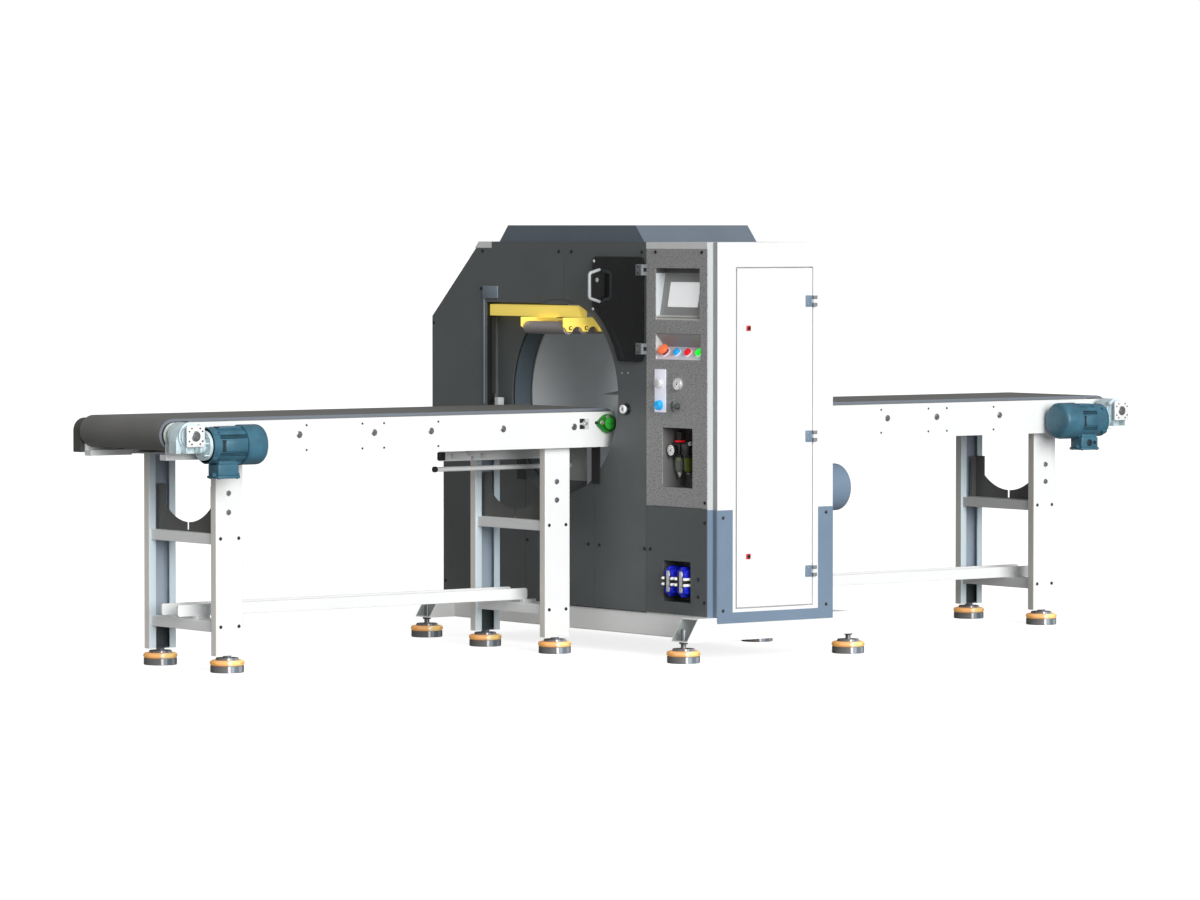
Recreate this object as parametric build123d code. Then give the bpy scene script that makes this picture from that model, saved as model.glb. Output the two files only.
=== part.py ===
from build123d import *
import math
import os

os.makedirs("parts", exist_ok=True)

# All sizes in mm: x along the conveyors, y across them, z up from the floor
FIT = 0.3
SHEET = 3.0
SEAM = 1.5
PANEL_GAP = 3.0

# Belts and drums
BELT_TOP = 908.0
BELT_W = 526.0
BELT_T = 10.0
BELT_R = 57.0
CONV_Y = 59.0
DRUM_IN_X = 286.0
DRUM_SPAN = 1906.0
DRUM_SHORT = 4.0
SHAFT_R = 15.0
BED_T = 4.0
BED_LIP = 25.0
BED_END = 60.0
BELT_SIDE = 6.0
drum_out_x = DRUM_IN_X + DRUM_SPAN
drum_z = BELT_TOP - BELT_R
drum_r = BELT_R - BELT_T - FIT
belt_under = BELT_TOP - BELT_T

# Side rails
RAIL_T = 6.0
RAIL_H = 131.0
RAIL_DROP = 13.0
RAIL_FLANGE = 77.0
RAIL_IN = 16.0
RAIL_CUT_X = 24.0
RAIL_CUT_Z = 57.0
RAIL_OUT_CUT = 60.0
FLANGE_STOP = 195.0
SLOT_OFF = 102.0
SLOT_W = 42.0
SLOT_H = 39.0
TENSION_W = 18.0
TENSION_PROUD = 2.0
SCREW_R = 4.0
rail_z1 = BELT_TOP - RAIL_DROP
rail_z0 = rail_z1 - RAIL_H
rail_in_y = BELT_W / 2 + BELT_SIDE
rail_out_y = rail_in_y + RAIL_T
rail_end_x = DRUM_IN_X - RAIL_IN

# Drum bearings
BEAR_T = 12.0
BEAR_R = 34.0
HUB_R = 22.0
PEAR_R = 35.0
PEAR_TIP_R = 14.0
PEAR_TIP_X = 32.0
bear_y = rail_out_y + BEAR_T
hub_y = bear_y + BEAR_T

# Gearboxes and motors
GEAR_W = 75.0
GEAR_R = 47.0
GEAR_BASE = 104.0
GEAR_BASE_H = 44.0
GEAR_RING_R = 42.0
GEAR_RING_T = 10.0
GEAR_BACK = 18.0
BORE_R = 12.0
BORE_D = 30.0
WORM_DROP = 36.0
WORM_R = 26.0
WORM_IN = 20.0
MOTOR_OFF = 57.0
FLANGE_R = 53.0
FLANGE_T = 12.0
GEAR_REACH = 50.0
STATOR_R = 58.0
STATOR_L = 154.0
FIN_H = 7.0
FIN_T = 3.0
COWL_R = 71.5
COWL_L = 76.0
COWL_FILLET = 14.0
PAD_L = 88.0
PAD_W = 56.0
TERM_L = 88.0
TERM_W = 68.0
TERM_IN = 65.0
TERM_H = 52.0
TERM_LID = 9.0
GLAND_R = 9.0
GLAND_L = 13.0
gear_y = CONV_Y - hub_y
motor_y = gear_y - MOTOR_OFF
motor_z = drum_z - WORM_DROP

# Covers and brackets at the outer ends
COVER_R = 46.0
COVER_T = 26.0
COVER_H = 77.0
COVER_ROOM = 2.0
BAR_L = 175.0
BAR_W = 40.0
BAR_H = 20.0
BAR_PAST = 33.0
BAR_DROP = 12.0
EAR_X = 30.0
EAR_L = 63.0
EAR_H = 62.0
EAR_T = 5.0
TIE_W = 50.0
TIE_T = 4.0
TIE_SHELF = 45.0
TIE_H = 139.0
TIE_IN = 41.0

# Levelling feet
FOOT_R = 60.0
DISC_H = 24.0
RING_H = 20.0
RING_BULGE = 2.0
CAP_R = 42.0
CAP_H = 8.0
STUD_R = 10.0
NUT_R = 17.0
NUT_H = 8.0
STUD_RISE = 45.0
foot_top = DISC_H + RING_H + CAP_H

# Conveyor legs and their frames
LEG_IN = 197.0
LEG_OUT = 254.0
LEG_W = 115.0
LEG_D = 36.0
LEG_LIP = 28.0
LEG_T = 4.0
LEG_PLATE = 6.0
LEG_INSET = 38.0
BEAM_W = 98.0
BEAM_H = 38.0
BEAM_T = 3.0
BEAM_LOW = 83.0
BEAM_UP = 395.0
ARCH_H = 165.0
ARCH_R = 224.0
ARCH_LIP = 33.0
ARCH_ARM = 54.0
ARCH_T = 3.0
ARCH_OFF = 20.0
ARCH_SLOT = 12.0
ARCH_SLOT_LIP = 3.0
ARCH_FLANGE = 24.0
STRETCH_W = 10.0
STRETCH_H = 46.0
STRETCH_OFF = 52.0
STRETCH_IN = 35.0
STRETCH_OUT = 102.0
STRETCH_R = 8.0
STRETCH_GAP = 13.0
SPACER_L = 60.0
SPACER_W = 24.0
leg_z0 = foot_top + NUT_H
leg_xs = (DRUM_IN_X + LEG_IN, drum_out_x - LEG_OUT)
leg_y = rail_out_y - LEG_INSET
leg_face = leg_y - LEG_D
leg_mid = leg_y - LEG_D / 2

# Wrapping ring and the opening round it
RING_RISE = 35.0
OPEN_R = 368.0
ROTOR_W = 74.0
ROTOR_H = 100.0
ROTOR_BAND = 6.0
ROTOR_RIM = 12.0
ROTOR_WEB = 14.0
CAV_SIDE = 7.0
CAV_OVER = 14.0
CAV_WALL = 5.0
GUIDE_R = 20.0
GUIDE_RUN = 0.5
GUIDE_ROOM = 5.0
GUIDE_SHAFT = 8.0
LINER_T = 5.0
LINER_STEP = 4.0
ring_z = BELT_TOP + RING_RISE

# Housing
BASE_CLEAR = 24.0
BASE_H = 84.0
HOUSE_HALF = 300.0
HOUSE_NEAR = 537.0
HOUSE_FAR = 744.0
FAR_STEP = 73.0
STEP_H = 580.0
HOUSE_RISE = 559.0
CHAMFER_Y = 290.0
CHAMFER_Z = 265.0
ROOF_T = 24.0
ROOF_FAR = 427.0
END_CAP_W = 108.0
END_CAP_SLOPE = 24.0
HOOD_H = 62.0
HOOD_HALF = 266.0
HOOD_NEAR = 483.0
HOOD_FAR = 422.0
HOOD_SLOPE = 55.0
REC_DEPTH = 55.0
REC_OVER = 92.0
REC_LOW = 63.0
REC_NEAR = 100.0
REC_ROOF = 8.0
SEAM_UP_Y = 35.0
SEAM_LOW_Y = (210.0, 223.0)
base_z0 = foot_top + BASE_CLEAR
base_z1 = base_z0 + BASE_H
house_near = CONV_Y - HOUSE_NEAR
house_low_far = CONV_Y + HOUSE_FAR
house_far = house_low_far + FAR_STEP
house_z1 = ring_z + HOUSE_RISE
roof_z1 = house_z1 + ROOF_T
face_x = -HOUSE_HALF
rec_x = face_x + REC_DEPTH
cav_x0 = rec_x + CAV_WALL
rotor_x0 = cav_x0 + CAV_SIDE
rotor_x1 = rotor_x0 + ROTOR_W
cav_x1 = rotor_x1 + CAV_SIDE
rotor_r = OPEN_R + ROTOR_H
cav_r = rotor_r + CAV_OVER
rec_y0 = CONV_Y - REC_NEAR
rec_y1 = CONV_Y + OPEN_R + REC_OVER
rec_z0 = ring_z - REC_LOW

# Base frame
BASE_BEAM = 94.0
BASE_HALF = 410.0
BASE_SLOPE = 52.0
BASE_TUBE = 80.0
BASE_INSET = 8.0
BASE_T = 5.0
BASE_FOOT = 21.0
FAR_OVER = 34.0

# Press beam, cradle and rollers
PB_W = 40.0
PB_H = 44.0
PB_INSET = 10.0
PB_UNDER = 68.0
PB_NEAR = 111.0
PB_BLOCK = 12.0
PB_BLOCK_LOW = 8.0
PB_BLOCK_UP = 2.0
PB_WALL = 4.0
RAIL_G_W = 16.0
RAIL_G_T = 7.0
RAIL_G_RISE = 37.0
ROLL_R = 24.0
ROLL_PITCH = 74.0
ROLL_DROP = 39.0
ROLL_END = 5.0
AXLE_R = 6.0
AXLE_NUT_R = 9.0
AXLE_NUT = 5.0
CR_LEN = 268.0
CR_PLATE = 4.0
CR_SPINE = 12.0
CR_END = 30.0
CR_TIP = 14.0
CR_ARCH = 5.0
pb_x0 = face_x + PB_INSET
pb_x1 = pb_x0 + PB_W
pb_x = (pb_x0 + pb_x1) / 2
pb_z0 = ring_z + OPEN_R - PB_UNDER
pb_z1 = pb_z0 + PB_H
rec_z1 = pb_z1 + REC_ROOF
roll_z = pb_z0 - ROLL_DROP
cr_y0 = CONV_Y - PB_NEAR - PB_BLOCK - CR_PLATE
cr_y1 = cr_y0 + CR_LEN
guide_y0 = rec_y1 - RAIL_G_T

# Guard post and light barrier
POST_W = 26.0
POST_T = 8.0
POST_Z = 38.0
POST_TOP = 62.0
POST_BOX_W = 70.0
POST_BOX_H = 50.0
POST_BOX_T = 30.0
EMIT_W = 49.0
EMIT_H = 39.0
EMIT_Z = 46.0
EYE_R = 10.0
EYE_NUT = 16.0
EYE_L = 22.0
EYE_Y = 407.0
EYE_Z = 36.0

# Film clamp below the belts
CLAMP_Y0 = 97.0
CLAMP_Y1 = 97.0
CLAMP_T = 5.0
CLAMP_OVER = 15.0
CLAMP_UP = 187.0
CBAR_Y = 25.0
CBAR_W = 8.0
CBAR_H = 37.0
CBAR_L = 590.0
CBAR_DROP = 230.0
CROD_R = 9.0
CROD_L = 633.0
CROD_DROP = 258.0
FINGER_L = 115.0
FINGER_H = 17.0
FINGER_T = 4.0
FINGER_Z = 16.0
FINGER_ROOT = 10.0

# Access door
STRIP = 37.0
ACC_MARGIN = 9.0
ACC_W = 304.0
ACC_TOP = 30.0
ACC_LOW = 142.0
ACC_R = 20.0
ACC_T = 6.0
ACC_OFF = 5.5
WIN_LAP = 5.0
GRIP_R = 6.0
GRIP_OUT = 48.0
GRIP_H = 119.0
GRIP_IN = 13.0
GRIP_TOP = 49.0
GRIP_EDGE = 45.0
LOCK_W = 46.0
LOCK_H = 87.0
LOCK_T = 17.0
LOCK_SHIFT = 7.0
acc_y0 = house_near + ACC_MARGIN
acc_y1 = acc_y0 + ACC_W
acc_z0 = ring_z + ACC_LOW
acc_z1 = house_z1 - ACC_TOP
acc_x1 = face_x - ACC_OFF
acc_x0 = acc_x1 - ACC_T

# Hinges
PIN_R = 3.0
PIN_FIT = 0.3
KNUCKLE_R = 6.0
KNUCKLE_H = 13.0
KNUCKLE_RUN = 0.5
LEAF_T = 3.0
ACC_HINGE_IN = 48.0
ACC_HINGE_OFF = 6.0
ACC_LEAF = 42.0
CAB_HINGE_IN = 121.0
CAB_LEAF = 30.0
FIX_LEAF = 15.0

# Control cabinet
CAB_INSET = 28.0
CAB_D = 384.0
COL_SET = 23.0
DOOR_W = 354.0
DOOR_SHIFT = 5.0
DOOR_LOW = 35.0
DOOR_TOP = 71.0
DOOR_T = 15.0
DOOR_PROUD = 1.0
DOOR_GAP = 5.0
CUP_D = 162.0
CUP_IN = 20.0
LOCK_S = 19.0
LOCK_PROUD = 4.0
LOCK_X = 52.0
LOCK_LOW = 185.0
LOCK_UP = 218.0
KICK_T = 2.0
KICK_STRIP = 70.0
KICK_TOP = 392.0
KICK_BOTTOM = 21.0
KICK_SILL = 39.0
cab_half = HOUSE_HALF - CAB_INSET
cab_y0 = house_near - CAB_D
col_y0 = cab_y0 + COL_SET
skin_y = cab_y0 - SHEET
door_x0 = -DOOR_SHIFT - DOOR_W / 2
door_x1 = door_x0 + DOOR_W
door_z0 = base_z1 + DOOR_LOW
door_z1 = house_z1 - DOOR_TOP
door_y0 = skin_y - DOOR_PROUD
door_y1 = door_y0 + DOOR_T

# Recesses and panels of the control column
HMI_EDGE = 56.0
HMI_W = 261.0
HMI_TOP = 71.0
HMI_H = 190.0
HMI_IN_LOW = 20.0
HMI_IN_UP = 50.0
HMI_SHELF = 17.0
SCREEN_W = 175.0
SCREEN_H = 92.0
SCREEN_LIFT = 30.0
SCREEN_T = 3.0
BTN_W = 267.0
BTN_DROP = 49.0
BTN_H = 99.0
BTN_IN = 43.0
BTN_EDGE = 40.0
BTN_PITCH = 56.0
BTN_R = 14.0
BTN_L = 15.0
STOP_R = 21.0
STOP_L = 30.0
STOP_GAP = 86.0
BEZEL_R = 16.0
BEZEL_T = 4.0
PLATE_EDGE = 54.0
PLATE_W = 65.0
PLATE_H = 158.0
PLATE_DROP = 33.0
PLATE_BTN_R = 18.0
PLATE_BTN_L = 18.0
PLATE_BTN_IN = (52.0, 26.0)
GAUGE_R = 23.0
GAUGE_L = 14.0
GAUGE_Y = 182.0
KNOB_R = 15.0
KNOB_L = 25.0
KNOB_DROP = 82.0
KNOB_TAPER = 3.0
AIR_EDGE = 96.0
AIR_W = 180.0
AIR_DROP = 246.0
AIR_H = 219.0
AIR_DEPTH = 110.0
SPLIT_DROP = 70.0
CUT_EDGE = 105.0
CUT_W = 160.0
CUT_DROP = 199.0
CUT_H = 150.0
CUT_DEPTH = 70.0
hmi_y1 = house_near - HMI_EDGE
hmi_y0 = hmi_y1 - HMI_W
hmi_z1 = house_z1 - HMI_TOP
hmi_z0 = hmi_z1 - HMI_H
btn_y1 = hmi_y1
btn_y0 = btn_y1 - BTN_W
btn_z1 = hmi_z0 - BTN_DROP
btn_z0 = btn_z1 - BTN_H
plate_z1 = btn_z0 - PLATE_DROP
air_y1 = house_near - AIR_EDGE
air_y0 = air_y1 - AIR_W
air_z1 = btn_z0 - AIR_DROP
air_z0 = air_z1 - AIR_H
split_z = air_z0 - SPLIT_DROP
cut_y1 = house_near - CUT_EDGE
cut_y0 = cut_y1 - CUT_W
cut_z1 = split_z - CUT_DROP
cut_z0 = cut_z1 - CUT_H

# Compressed-air unit, couplings and the drum behind the cabinet
UNIT_W = 50.0
UNIT_H = 68.0
UNIT_PITCH = 60.0
UNIT_EDGE = 16.0
UNIT_DROP = 38.0
UNIT_BACK = 30.0
TOP_R = 12.0
TOP_H = 24.0
TOP_RING_R = 19.0
TOP_RING_H = 6.0
BOWL_R = 16.0
BOWL_H = 58.0
TIP_R = 6.0
TIP_H = 20.0
DIAL_R = 20.0
DIAL_L = 16.0
DIAL_DROP = 44.0
LOBE_R = 24.0
LOBE_BORE = 9.0
LOBE_COUNT = 6
LOBE_BUMP = 6.0
LOBE_L = 70.0
LOBE_PITCH_Z = 52.0
LOBE_PITCH_Y = 76.0
LOBE_PROUD = 14.0
CORE_W = 22.0
CORE_H = 96.0
CORE_PROUD = 6.0
REAR_R = 88.0
REAR_L = 183.0
REAR_Z = 451.0
REAR_Y = 196.0
REAR_FILLET = 16.0

FAR_BIG = 2000.0
CUT_PAST = 50.0


def rect(u0, u1, v0, v1):
    """Flat rectangle between two pairs of coordinates."""
    return Pos((u0 + u1) / 2, (v0 + v1) / 2) * Rectangle(u1 - u0, v1 - v0)


def soft_rect(u0, u1, v0, v1, r):
    """Flat rectangle with round corners."""
    return Pos((u0 + u1) / 2, (v0 + v1) / 2) * RectangleRounded(u1 - u0, v1 - v0, r)


def disc(u, v, r):
    """Flat disc."""
    return Pos(u, v) * Circle(r)


def poly(*points):
    """Flat polygon."""
    return make_face(Polyline(*points, close=True))


def along_x(shape, x0, x1):
    """Extrude a flat (y, z) shape from x0 to x1."""
    return extrude(Plane.YZ.offset(x0) * shape, x1 - x0)


def along_y(shape, y0, y1):
    """Extrude a flat (x, z) shape from y0 to y1."""
    return extrude(Plane.XZ.offset(-y0) * shape, y0 - y1)


def along_z(shape, z0, z1):
    """Extrude a flat (x, y) shape from z0 to z1."""
    return extrude(Plane.XY.offset(z0) * shape, z1 - z0)


def box(x0, x1, y0, y1, z0, z1):
    return along_z(rect(x0, x1, y0, y1), z0, z1)


def turned(profile, plane):
    """Revolve a flat (radius, height) profile about the plane's normal."""
    return plane * revolve(Plane.XZ * profile, Axis.Z)


def tube_profile(w, h, t, r):
    """Cross-section of a hollow tube."""
    return RectangleRounded(w, h, r) - RectangleRounded(w - 2 * t, h - 2 * t, max(r - t, t / 2))


def both_ends(solids):
    """The outfeed's solids and their mirror images on the infeed."""
    return solids + [s.mirror(Plane.YZ) for s in solids]


def both_sides(solids):
    """The solids beside one edge of the conveyor and their mirror images beside the other."""
    middle = Plane(origin=(0, CONV_Y, 0), z_dir=(0, 1, 0))
    return solids + [s.mirror(middle) for s in solids]


def write(name, solids):
    """Save one node as a STEP file."""
    items = []
    for s in solids:
        items.extend(s.solids())
    shape = items[0] if len(items) == 1 else Compound(children=items)
    shape.label = name
    export_step(shape, os.path.join("parts", name + ".step"))


def base_frame():
    """Two cross tubes with oblique open ends, welded to two tubes under the housing's long sides."""
    low = BASE_HALF
    top = BASE_HALF - BASE_SLOPE
    outline = poly((-low, base_z0), (low, base_z0), (top, base_z1), (-top, base_z1))
    hollow = rect(-FAR_BIG, FAR_BIG, base_z0 + BASE_T, base_z1 - BASE_T)
    frame = None
    for y0, y1 in base_beams():
        tube = along_y(outline, y0, y1) - along_y(hollow, y0 + BASE_T, y1 - BASE_T)
        for x in (-foot_x, foot_x):
            tube -= along_z(disc(x, (y0 + y1) / 2, STUD_R + FIT), base_z0 - BASE_T, base_z0 + 2 * BASE_T)
        frame = tube if frame is None else frame + tube
    section = tube_profile(BASE_TUBE, BASE_H, BASE_T, BASE_T)
    mid_x = HOUSE_HALF - BASE_INSET - BASE_TUBE / 2
    for x in (-mid_x, mid_x):
        placed = Pos(x, (base_z0 + base_z1) / 2) * section
        frame += along_y(placed, base_beams()[0][1], base_beams()[1][0])
    return frame


def base_beams():
    far = house_low_far + FAR_OVER
    return ((cab_y0, cab_y0 + BASE_BEAM), (far - BASE_BEAM, far))


foot_x = BASE_HALF - BASE_FOOT


def foot_places():
    """Position of each foot and the height of the plate it carries."""
    places = []
    for x in leg_xs:
        for y in (CONV_Y - leg_mid, CONV_Y + leg_mid):
            places += [(x, y, leg_z0, 0.0), (-x, y, leg_z0, 0.0)]
    for y0, y1 in base_beams():
        places += [(foot_x, (y0 + y1) / 2, base_z0, STUD_RISE), (-foot_x, (y0 + y1) / 2, base_z0, STUD_RISE)]
    return places


def foot_disc(x, y, plate_z, rise):
    """Steel disc, cap and stud with its nut under the plate."""
    edge = 2.0
    profile = poly((0, 0), (FOOT_R - edge, 0), (FOOT_R, edge), (FOOT_R, DISC_H), (STUD_R, DISC_H),
                   (STUD_R, DISC_H + RING_H), (CAP_R, DISC_H + RING_H), (CAP_R - edge, foot_top),
                   (STUD_R, foot_top), (STUD_R, plate_z + rise), (0, plate_z + rise))
    foot = turned(profile, Plane((x, y, 0)))
    return foot + along_z(Pos(x, y) * RegularPolygon(NUT_R, 6), plate_z - NUT_H, plate_z)


def foot_ring(x, y):
    """Orange damping ring between disc and cap, with a full round edge."""
    half = RING_H / 2
    outer = FOOT_R + RING_BULGE - half
    profile = rect(STUD_R + FIT, outer, DISC_H, DISC_H + RING_H) + disc(outer, DISC_H + half, half)
    return turned(profile, Plane((x, y, 0)))


def leg(x):
    """Lipped channel, open towards the middle of the conveyor, with a foot plate and a head plate."""
    channel = RectangleRounded(LEG_W, LEG_D, LEG_T)
    inner = Rectangle(LEG_W - 2 * LEG_T, LEG_D - 2 * LEG_T)
    mouth = Pos(0, LEG_D / 2) * Rectangle(LEG_W - 2 * LEG_LIP, 4 * LEG_T)
    place = Pos(x, CONV_Y - leg_mid)
    post = along_z(place * (channel - inner - mouth), leg_z0, rail_z0)
    plates = channel - mouth
    post += along_z(place * plates, leg_z0, leg_z0 + LEG_PLATE)
    post += along_z(place * plates, rail_z0 - LEG_PLATE, rail_z0)
    return post


def cross_beam(x, low):
    """Flat hollow tube between the two legs of a pair."""
    z = leg_z0 + low + BEAM_H / 2
    section = Pos(x, z) * tube_profile(BEAM_W, BEAM_H, BEAM_T, BEAM_T)
    return along_y(section, CONV_Y - leg_face, CONV_Y + leg_face)


def arch_plate(x):
    """Plate with a rounded cut between straight arms and a slot below it, folded at both sides."""
    z0 = leg_z0 + BEAM_UP + BEAM_H
    sheet = rect(CONV_Y - leg_face, CONV_Y + leg_face, z0, z0 + ARCH_H)
    half = leg_face - ARCH_ARM
    opening = disc(CONV_Y, z0 + ARCH_LIP + ARCH_R, ARCH_R)
    sheet -= opening & rect(CONV_Y - half, CONV_Y + half, z0, z0 + 2 * ARCH_R)
    sheet -= rect(CONV_Y - ARCH_SLOT / 2, CONV_Y + ARCH_SLOT / 2, z0 + ARCH_SLOT_LIP, z0 + ARCH_H)
    px = x + ARCH_OFF
    plate = along_x(sheet, px - ARCH_T / 2, px + ARCH_T / 2)
    for side in (-1, 1):
        edge = CONV_Y + side * leg_face
        inner = edge - side * ARCH_T
        fold = rect(px - ARCH_FLANGE, px, min(edge, inner), max(edge, inner))
        plate += along_z(fold, z0, z0 + ARCH_H)
    return plate


def stretcher():
    """Long flat bar on edge with round corners, on a spacer block over each lower cross beam."""
    z = leg_z0 + BEAM_LOW + BEAM_H
    y = CONV_Y - STRETCH_OFF
    z0 = z + STRETCH_GAP
    side = soft_rect(leg_xs[0] - STRETCH_IN, leg_xs[1] + STRETCH_OUT, z0, z0 + STRETCH_H, STRETCH_R)
    bar = along_y(side, y - STRETCH_W / 2, y + STRETCH_W / 2)
    for x in leg_xs:
        bar += box(x - SPACER_L / 2, x + SPACER_L / 2, y - SPACER_W / 2, y + SPACER_W / 2, z, z0)
    return bar


def side_rail():
    """Folded rail: web with a round outer end and a cut inner end, bottom flange, slot for the tensioner."""
    end_r = rail_z1 - drum_z
    cut_x = rail_end_x - RAIL_CUT_X
    low_out = drum_z - end_r
    web = poly((rail_end_x, rail_z0), (cut_x, rail_z0 + RAIL_CUT_Z), (cut_x, rail_z1), (drum_out_x, rail_z1),
               (drum_out_x, low_out), (drum_out_x - RAIL_OUT_CUT, rail_z0))
    web += disc(drum_out_x, drum_z, end_r)
    slot_x = DRUM_IN_X + SLOT_OFF
    web -= Pos(slot_x, drum_z) * Rectangle(SLOT_W, SLOT_H)
    rail = along_y(web, CONV_Y - rail_out_y, CONV_Y - rail_in_y)
    flange_y = CONV_Y - rail_out_y + RAIL_FLANGE
    rail += box(rail_end_x, drum_out_x - FLANGE_STOP, CONV_Y - rail_out_y, flange_y, rail_z0, rail_z0 + RAIL_T)
    return rail


def tensioner():
    """Block in the rail's slot with its screw and nut."""
    y0 = CONV_Y - rail_out_y - TENSION_PROUD
    y1 = CONV_Y - rail_in_y
    x0 = DRUM_IN_X + SLOT_OFF - SLOT_W / 2
    half = SLOT_H / 2
    block = along_y(rect(x0, x0 + TENSION_W, drum_z - half, drum_z + half), y0, y1)
    screw_y = (y0 + y1) / 2
    block += along_x(disc(screw_y, drum_z, SCREW_R), x0 + TENSION_W, x0 + SLOT_W)
    nut = Pos(screw_y, drum_z) * RegularPolygon(2 * SCREW_R, 6)
    return block + along_x(nut, x0 + TENSION_W, x0 + TENSION_W + 2 * SCREW_R)


def belt():
    """One closed belt loop round the inner and the outer drum."""
    mid = Pos((DRUM_IN_X + drum_out_x) / 2, drum_z)
    outer = mid * SlotCenterToCenter(DRUM_SPAN, 2 * BELT_R)
    inner = mid * SlotCenterToCenter(DRUM_SPAN, 2 * (BELT_R - BELT_T))
    return along_y(outer - inner, CONV_Y - BELT_W / 2, CONV_Y + BELT_W / 2)


def belt_bed():
    """Folded slide plate under the upper run of the belt, between the rails."""
    x0 = DRUM_IN_X + BED_END
    x1 = drum_out_x - BED_END
    bed = box(x0, x1, CONV_Y - rail_in_y, CONV_Y + rail_in_y, belt_under - BED_T, belt_under)
    for lip in both_sides([box(x0 + SLOT_W * 2, x1, CONV_Y - rail_in_y, CONV_Y - rail_in_y + BED_T,
                               belt_under - BED_LIP, belt_under)]):
        bed += lip
    return bed


def end_drum(x):
    """Drum with its shaft reaching into the rails' webs."""
    half = BELT_W / 2 - DRUM_SHORT
    drum = along_y(disc(x, drum_z, drum_r), CONV_Y - half, CONV_Y + half)
    return drum + along_y(disc(x, drum_z, SHAFT_R), CONV_Y - rail_in_y, CONV_Y + rail_in_y)


def inner_bearing():
    """Pear-shaped flange with its hub, at the inner drum."""
    pear = make_hull((disc(0, 0, PEAR_R) + disc(PEAR_TIP_X, 0, PEAR_TIP_R)).edges())
    flange = along_y(Pos(DRUM_IN_X, drum_z) * pear, CONV_Y - bear_y, CONV_Y - rail_out_y)
    return flange + along_y(disc(DRUM_IN_X, drum_z, HUB_R), CONV_Y - hub_y, CONV_Y - bear_y)


def outer_bearing():
    """Round flange with its hub, at the outer drum."""
    flange = along_y(disc(drum_out_x, drum_z, BEAR_R), CONV_Y - bear_y, CONV_Y - rail_out_y)
    return flange + along_y(disc(drum_out_x, drum_z, HUB_R), CONV_Y - hub_y, CONV_Y - bear_y)


def gearbox():
    """Cast worm gearbox: drum-shaped body on a flat base, worm tube, output ring and motor flange."""
    half = GEAR_BASE / 2
    foot_z = motor_z - WORM_R - drum_z
    base = rect(-half, half, foot_z, foot_z + GEAR_BASE_H)
    cast = make_hull((disc(0, 0, GEAR_R) + base).edges())
    front = gear_y - GEAR_W + GEAR_RING_T
    body = along_y(Pos(drum_out_x, drum_z) * cast, front, gear_y - GEAR_BACK)
    body += along_y(disc(drum_out_x, drum_z, GEAR_R), gear_y - GEAR_W, gear_y)
    ring = disc(drum_out_x, drum_z, GEAR_RING_R)
    body += along_y(ring, gear_y - GEAR_W - GEAR_RING_T, gear_y - GEAR_W)
    body += along_x(disc(motor_y, motor_z, WORM_R), drum_out_x - GEAR_REACH - FLANGE_T, drum_out_x - WORM_IN)
    flange_x = drum_out_x - GEAR_REACH - FLANGE_T
    body += along_x(disc(motor_y, motor_z, FLANGE_R), flange_x - FLANGE_T, flange_x)
    bore = disc(drum_out_x, drum_z, BORE_R)
    return body - along_y(bore, gear_y - GEAR_W - GEAR_RING_T, gear_y - GEAR_W - GEAR_RING_T + BORE_D)


def motor():
    """Finned motor with a round fan cowl, flat pads, and a terminal box with cable glands below."""
    x1 = drum_out_x - GEAR_REACH - 2 * FLANGE_T
    shield = x1 - FLANGE_T
    x0 = x1 - STATOR_L
    body = along_x(disc(motor_y, motor_z, STATOR_R), x0, x1)
    body += along_x(disc(motor_y, motor_z, STATOR_R + FIN_H), shield, x1)
    fin = Pos(0, STATOR_R + FIN_H / 2 - 1) * Rectangle(FIN_T, FIN_H + 2)
    for quarter in range(4):
        for step in (-30, -22, 22, 30):
            turned_fin = Pos(motor_y, motor_z) * Rot(0, 0, quarter * 90 + step) * fin
            body += along_x(turned_fin, x0, shield)
        pad = Rot(0, 0, quarter * 90) * Pos(0, STATOR_R) * Rectangle(PAD_W, 2 * FIN_H)
        body += along_x(Pos(motor_y, motor_z) * pad, shield - PAD_L, shield)
    cowl = along_x(disc(motor_y, motor_z, COWL_R), x0 - COWL_L, x0)
    cowl = fillet(cowl.edges().sort_by(Axis.X)[0], COWL_FILLET)
    body += cowl
    term_x = shield - TERM_IN
    low = motor_z - STATOR_R - TERM_H - FIN_H
    term = along_z(soft_rect(term_x - TERM_L / 2, term_x + TERM_L / 2, motor_y - TERM_W / 2, motor_y + TERM_W / 2, 8),
                   low, motor_z)
    lid = along_z(soft_rect(term_x - TERM_L / 2 - 3, term_x + TERM_L / 2 + 3,
                            motor_y - TERM_W / 2 - 3, motor_y + TERM_W / 2 + 3, 10), low, low + TERM_LID)
    gland = disc(motor_y, low + TERM_LID + GLAND_R + 2, GLAND_R)
    ears = along_x(gland, term_x - TERM_L / 2 - GLAND_L, term_x + TERM_L / 2 + GLAND_L)
    return body + term + lid + ears


def bearing_cover():
    """Deep cap over the far-side bearing: round above, straight sides below, with room for the bearing."""
    face = disc(drum_out_x, drum_z, COVER_R)
    face += rect(drum_out_x - COVER_R, drum_out_x + COVER_R, drum_z - COVER_H, drum_z)
    cap = along_y(face, CONV_Y + rail_out_y, CONV_Y + hub_y + COVER_T)
    room = disc(drum_out_x, drum_z, BEAR_R + COVER_ROOM)
    return cap - along_y(room, CONV_Y + rail_out_y, CONV_Y + hub_y + COVER_ROOM)


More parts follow.
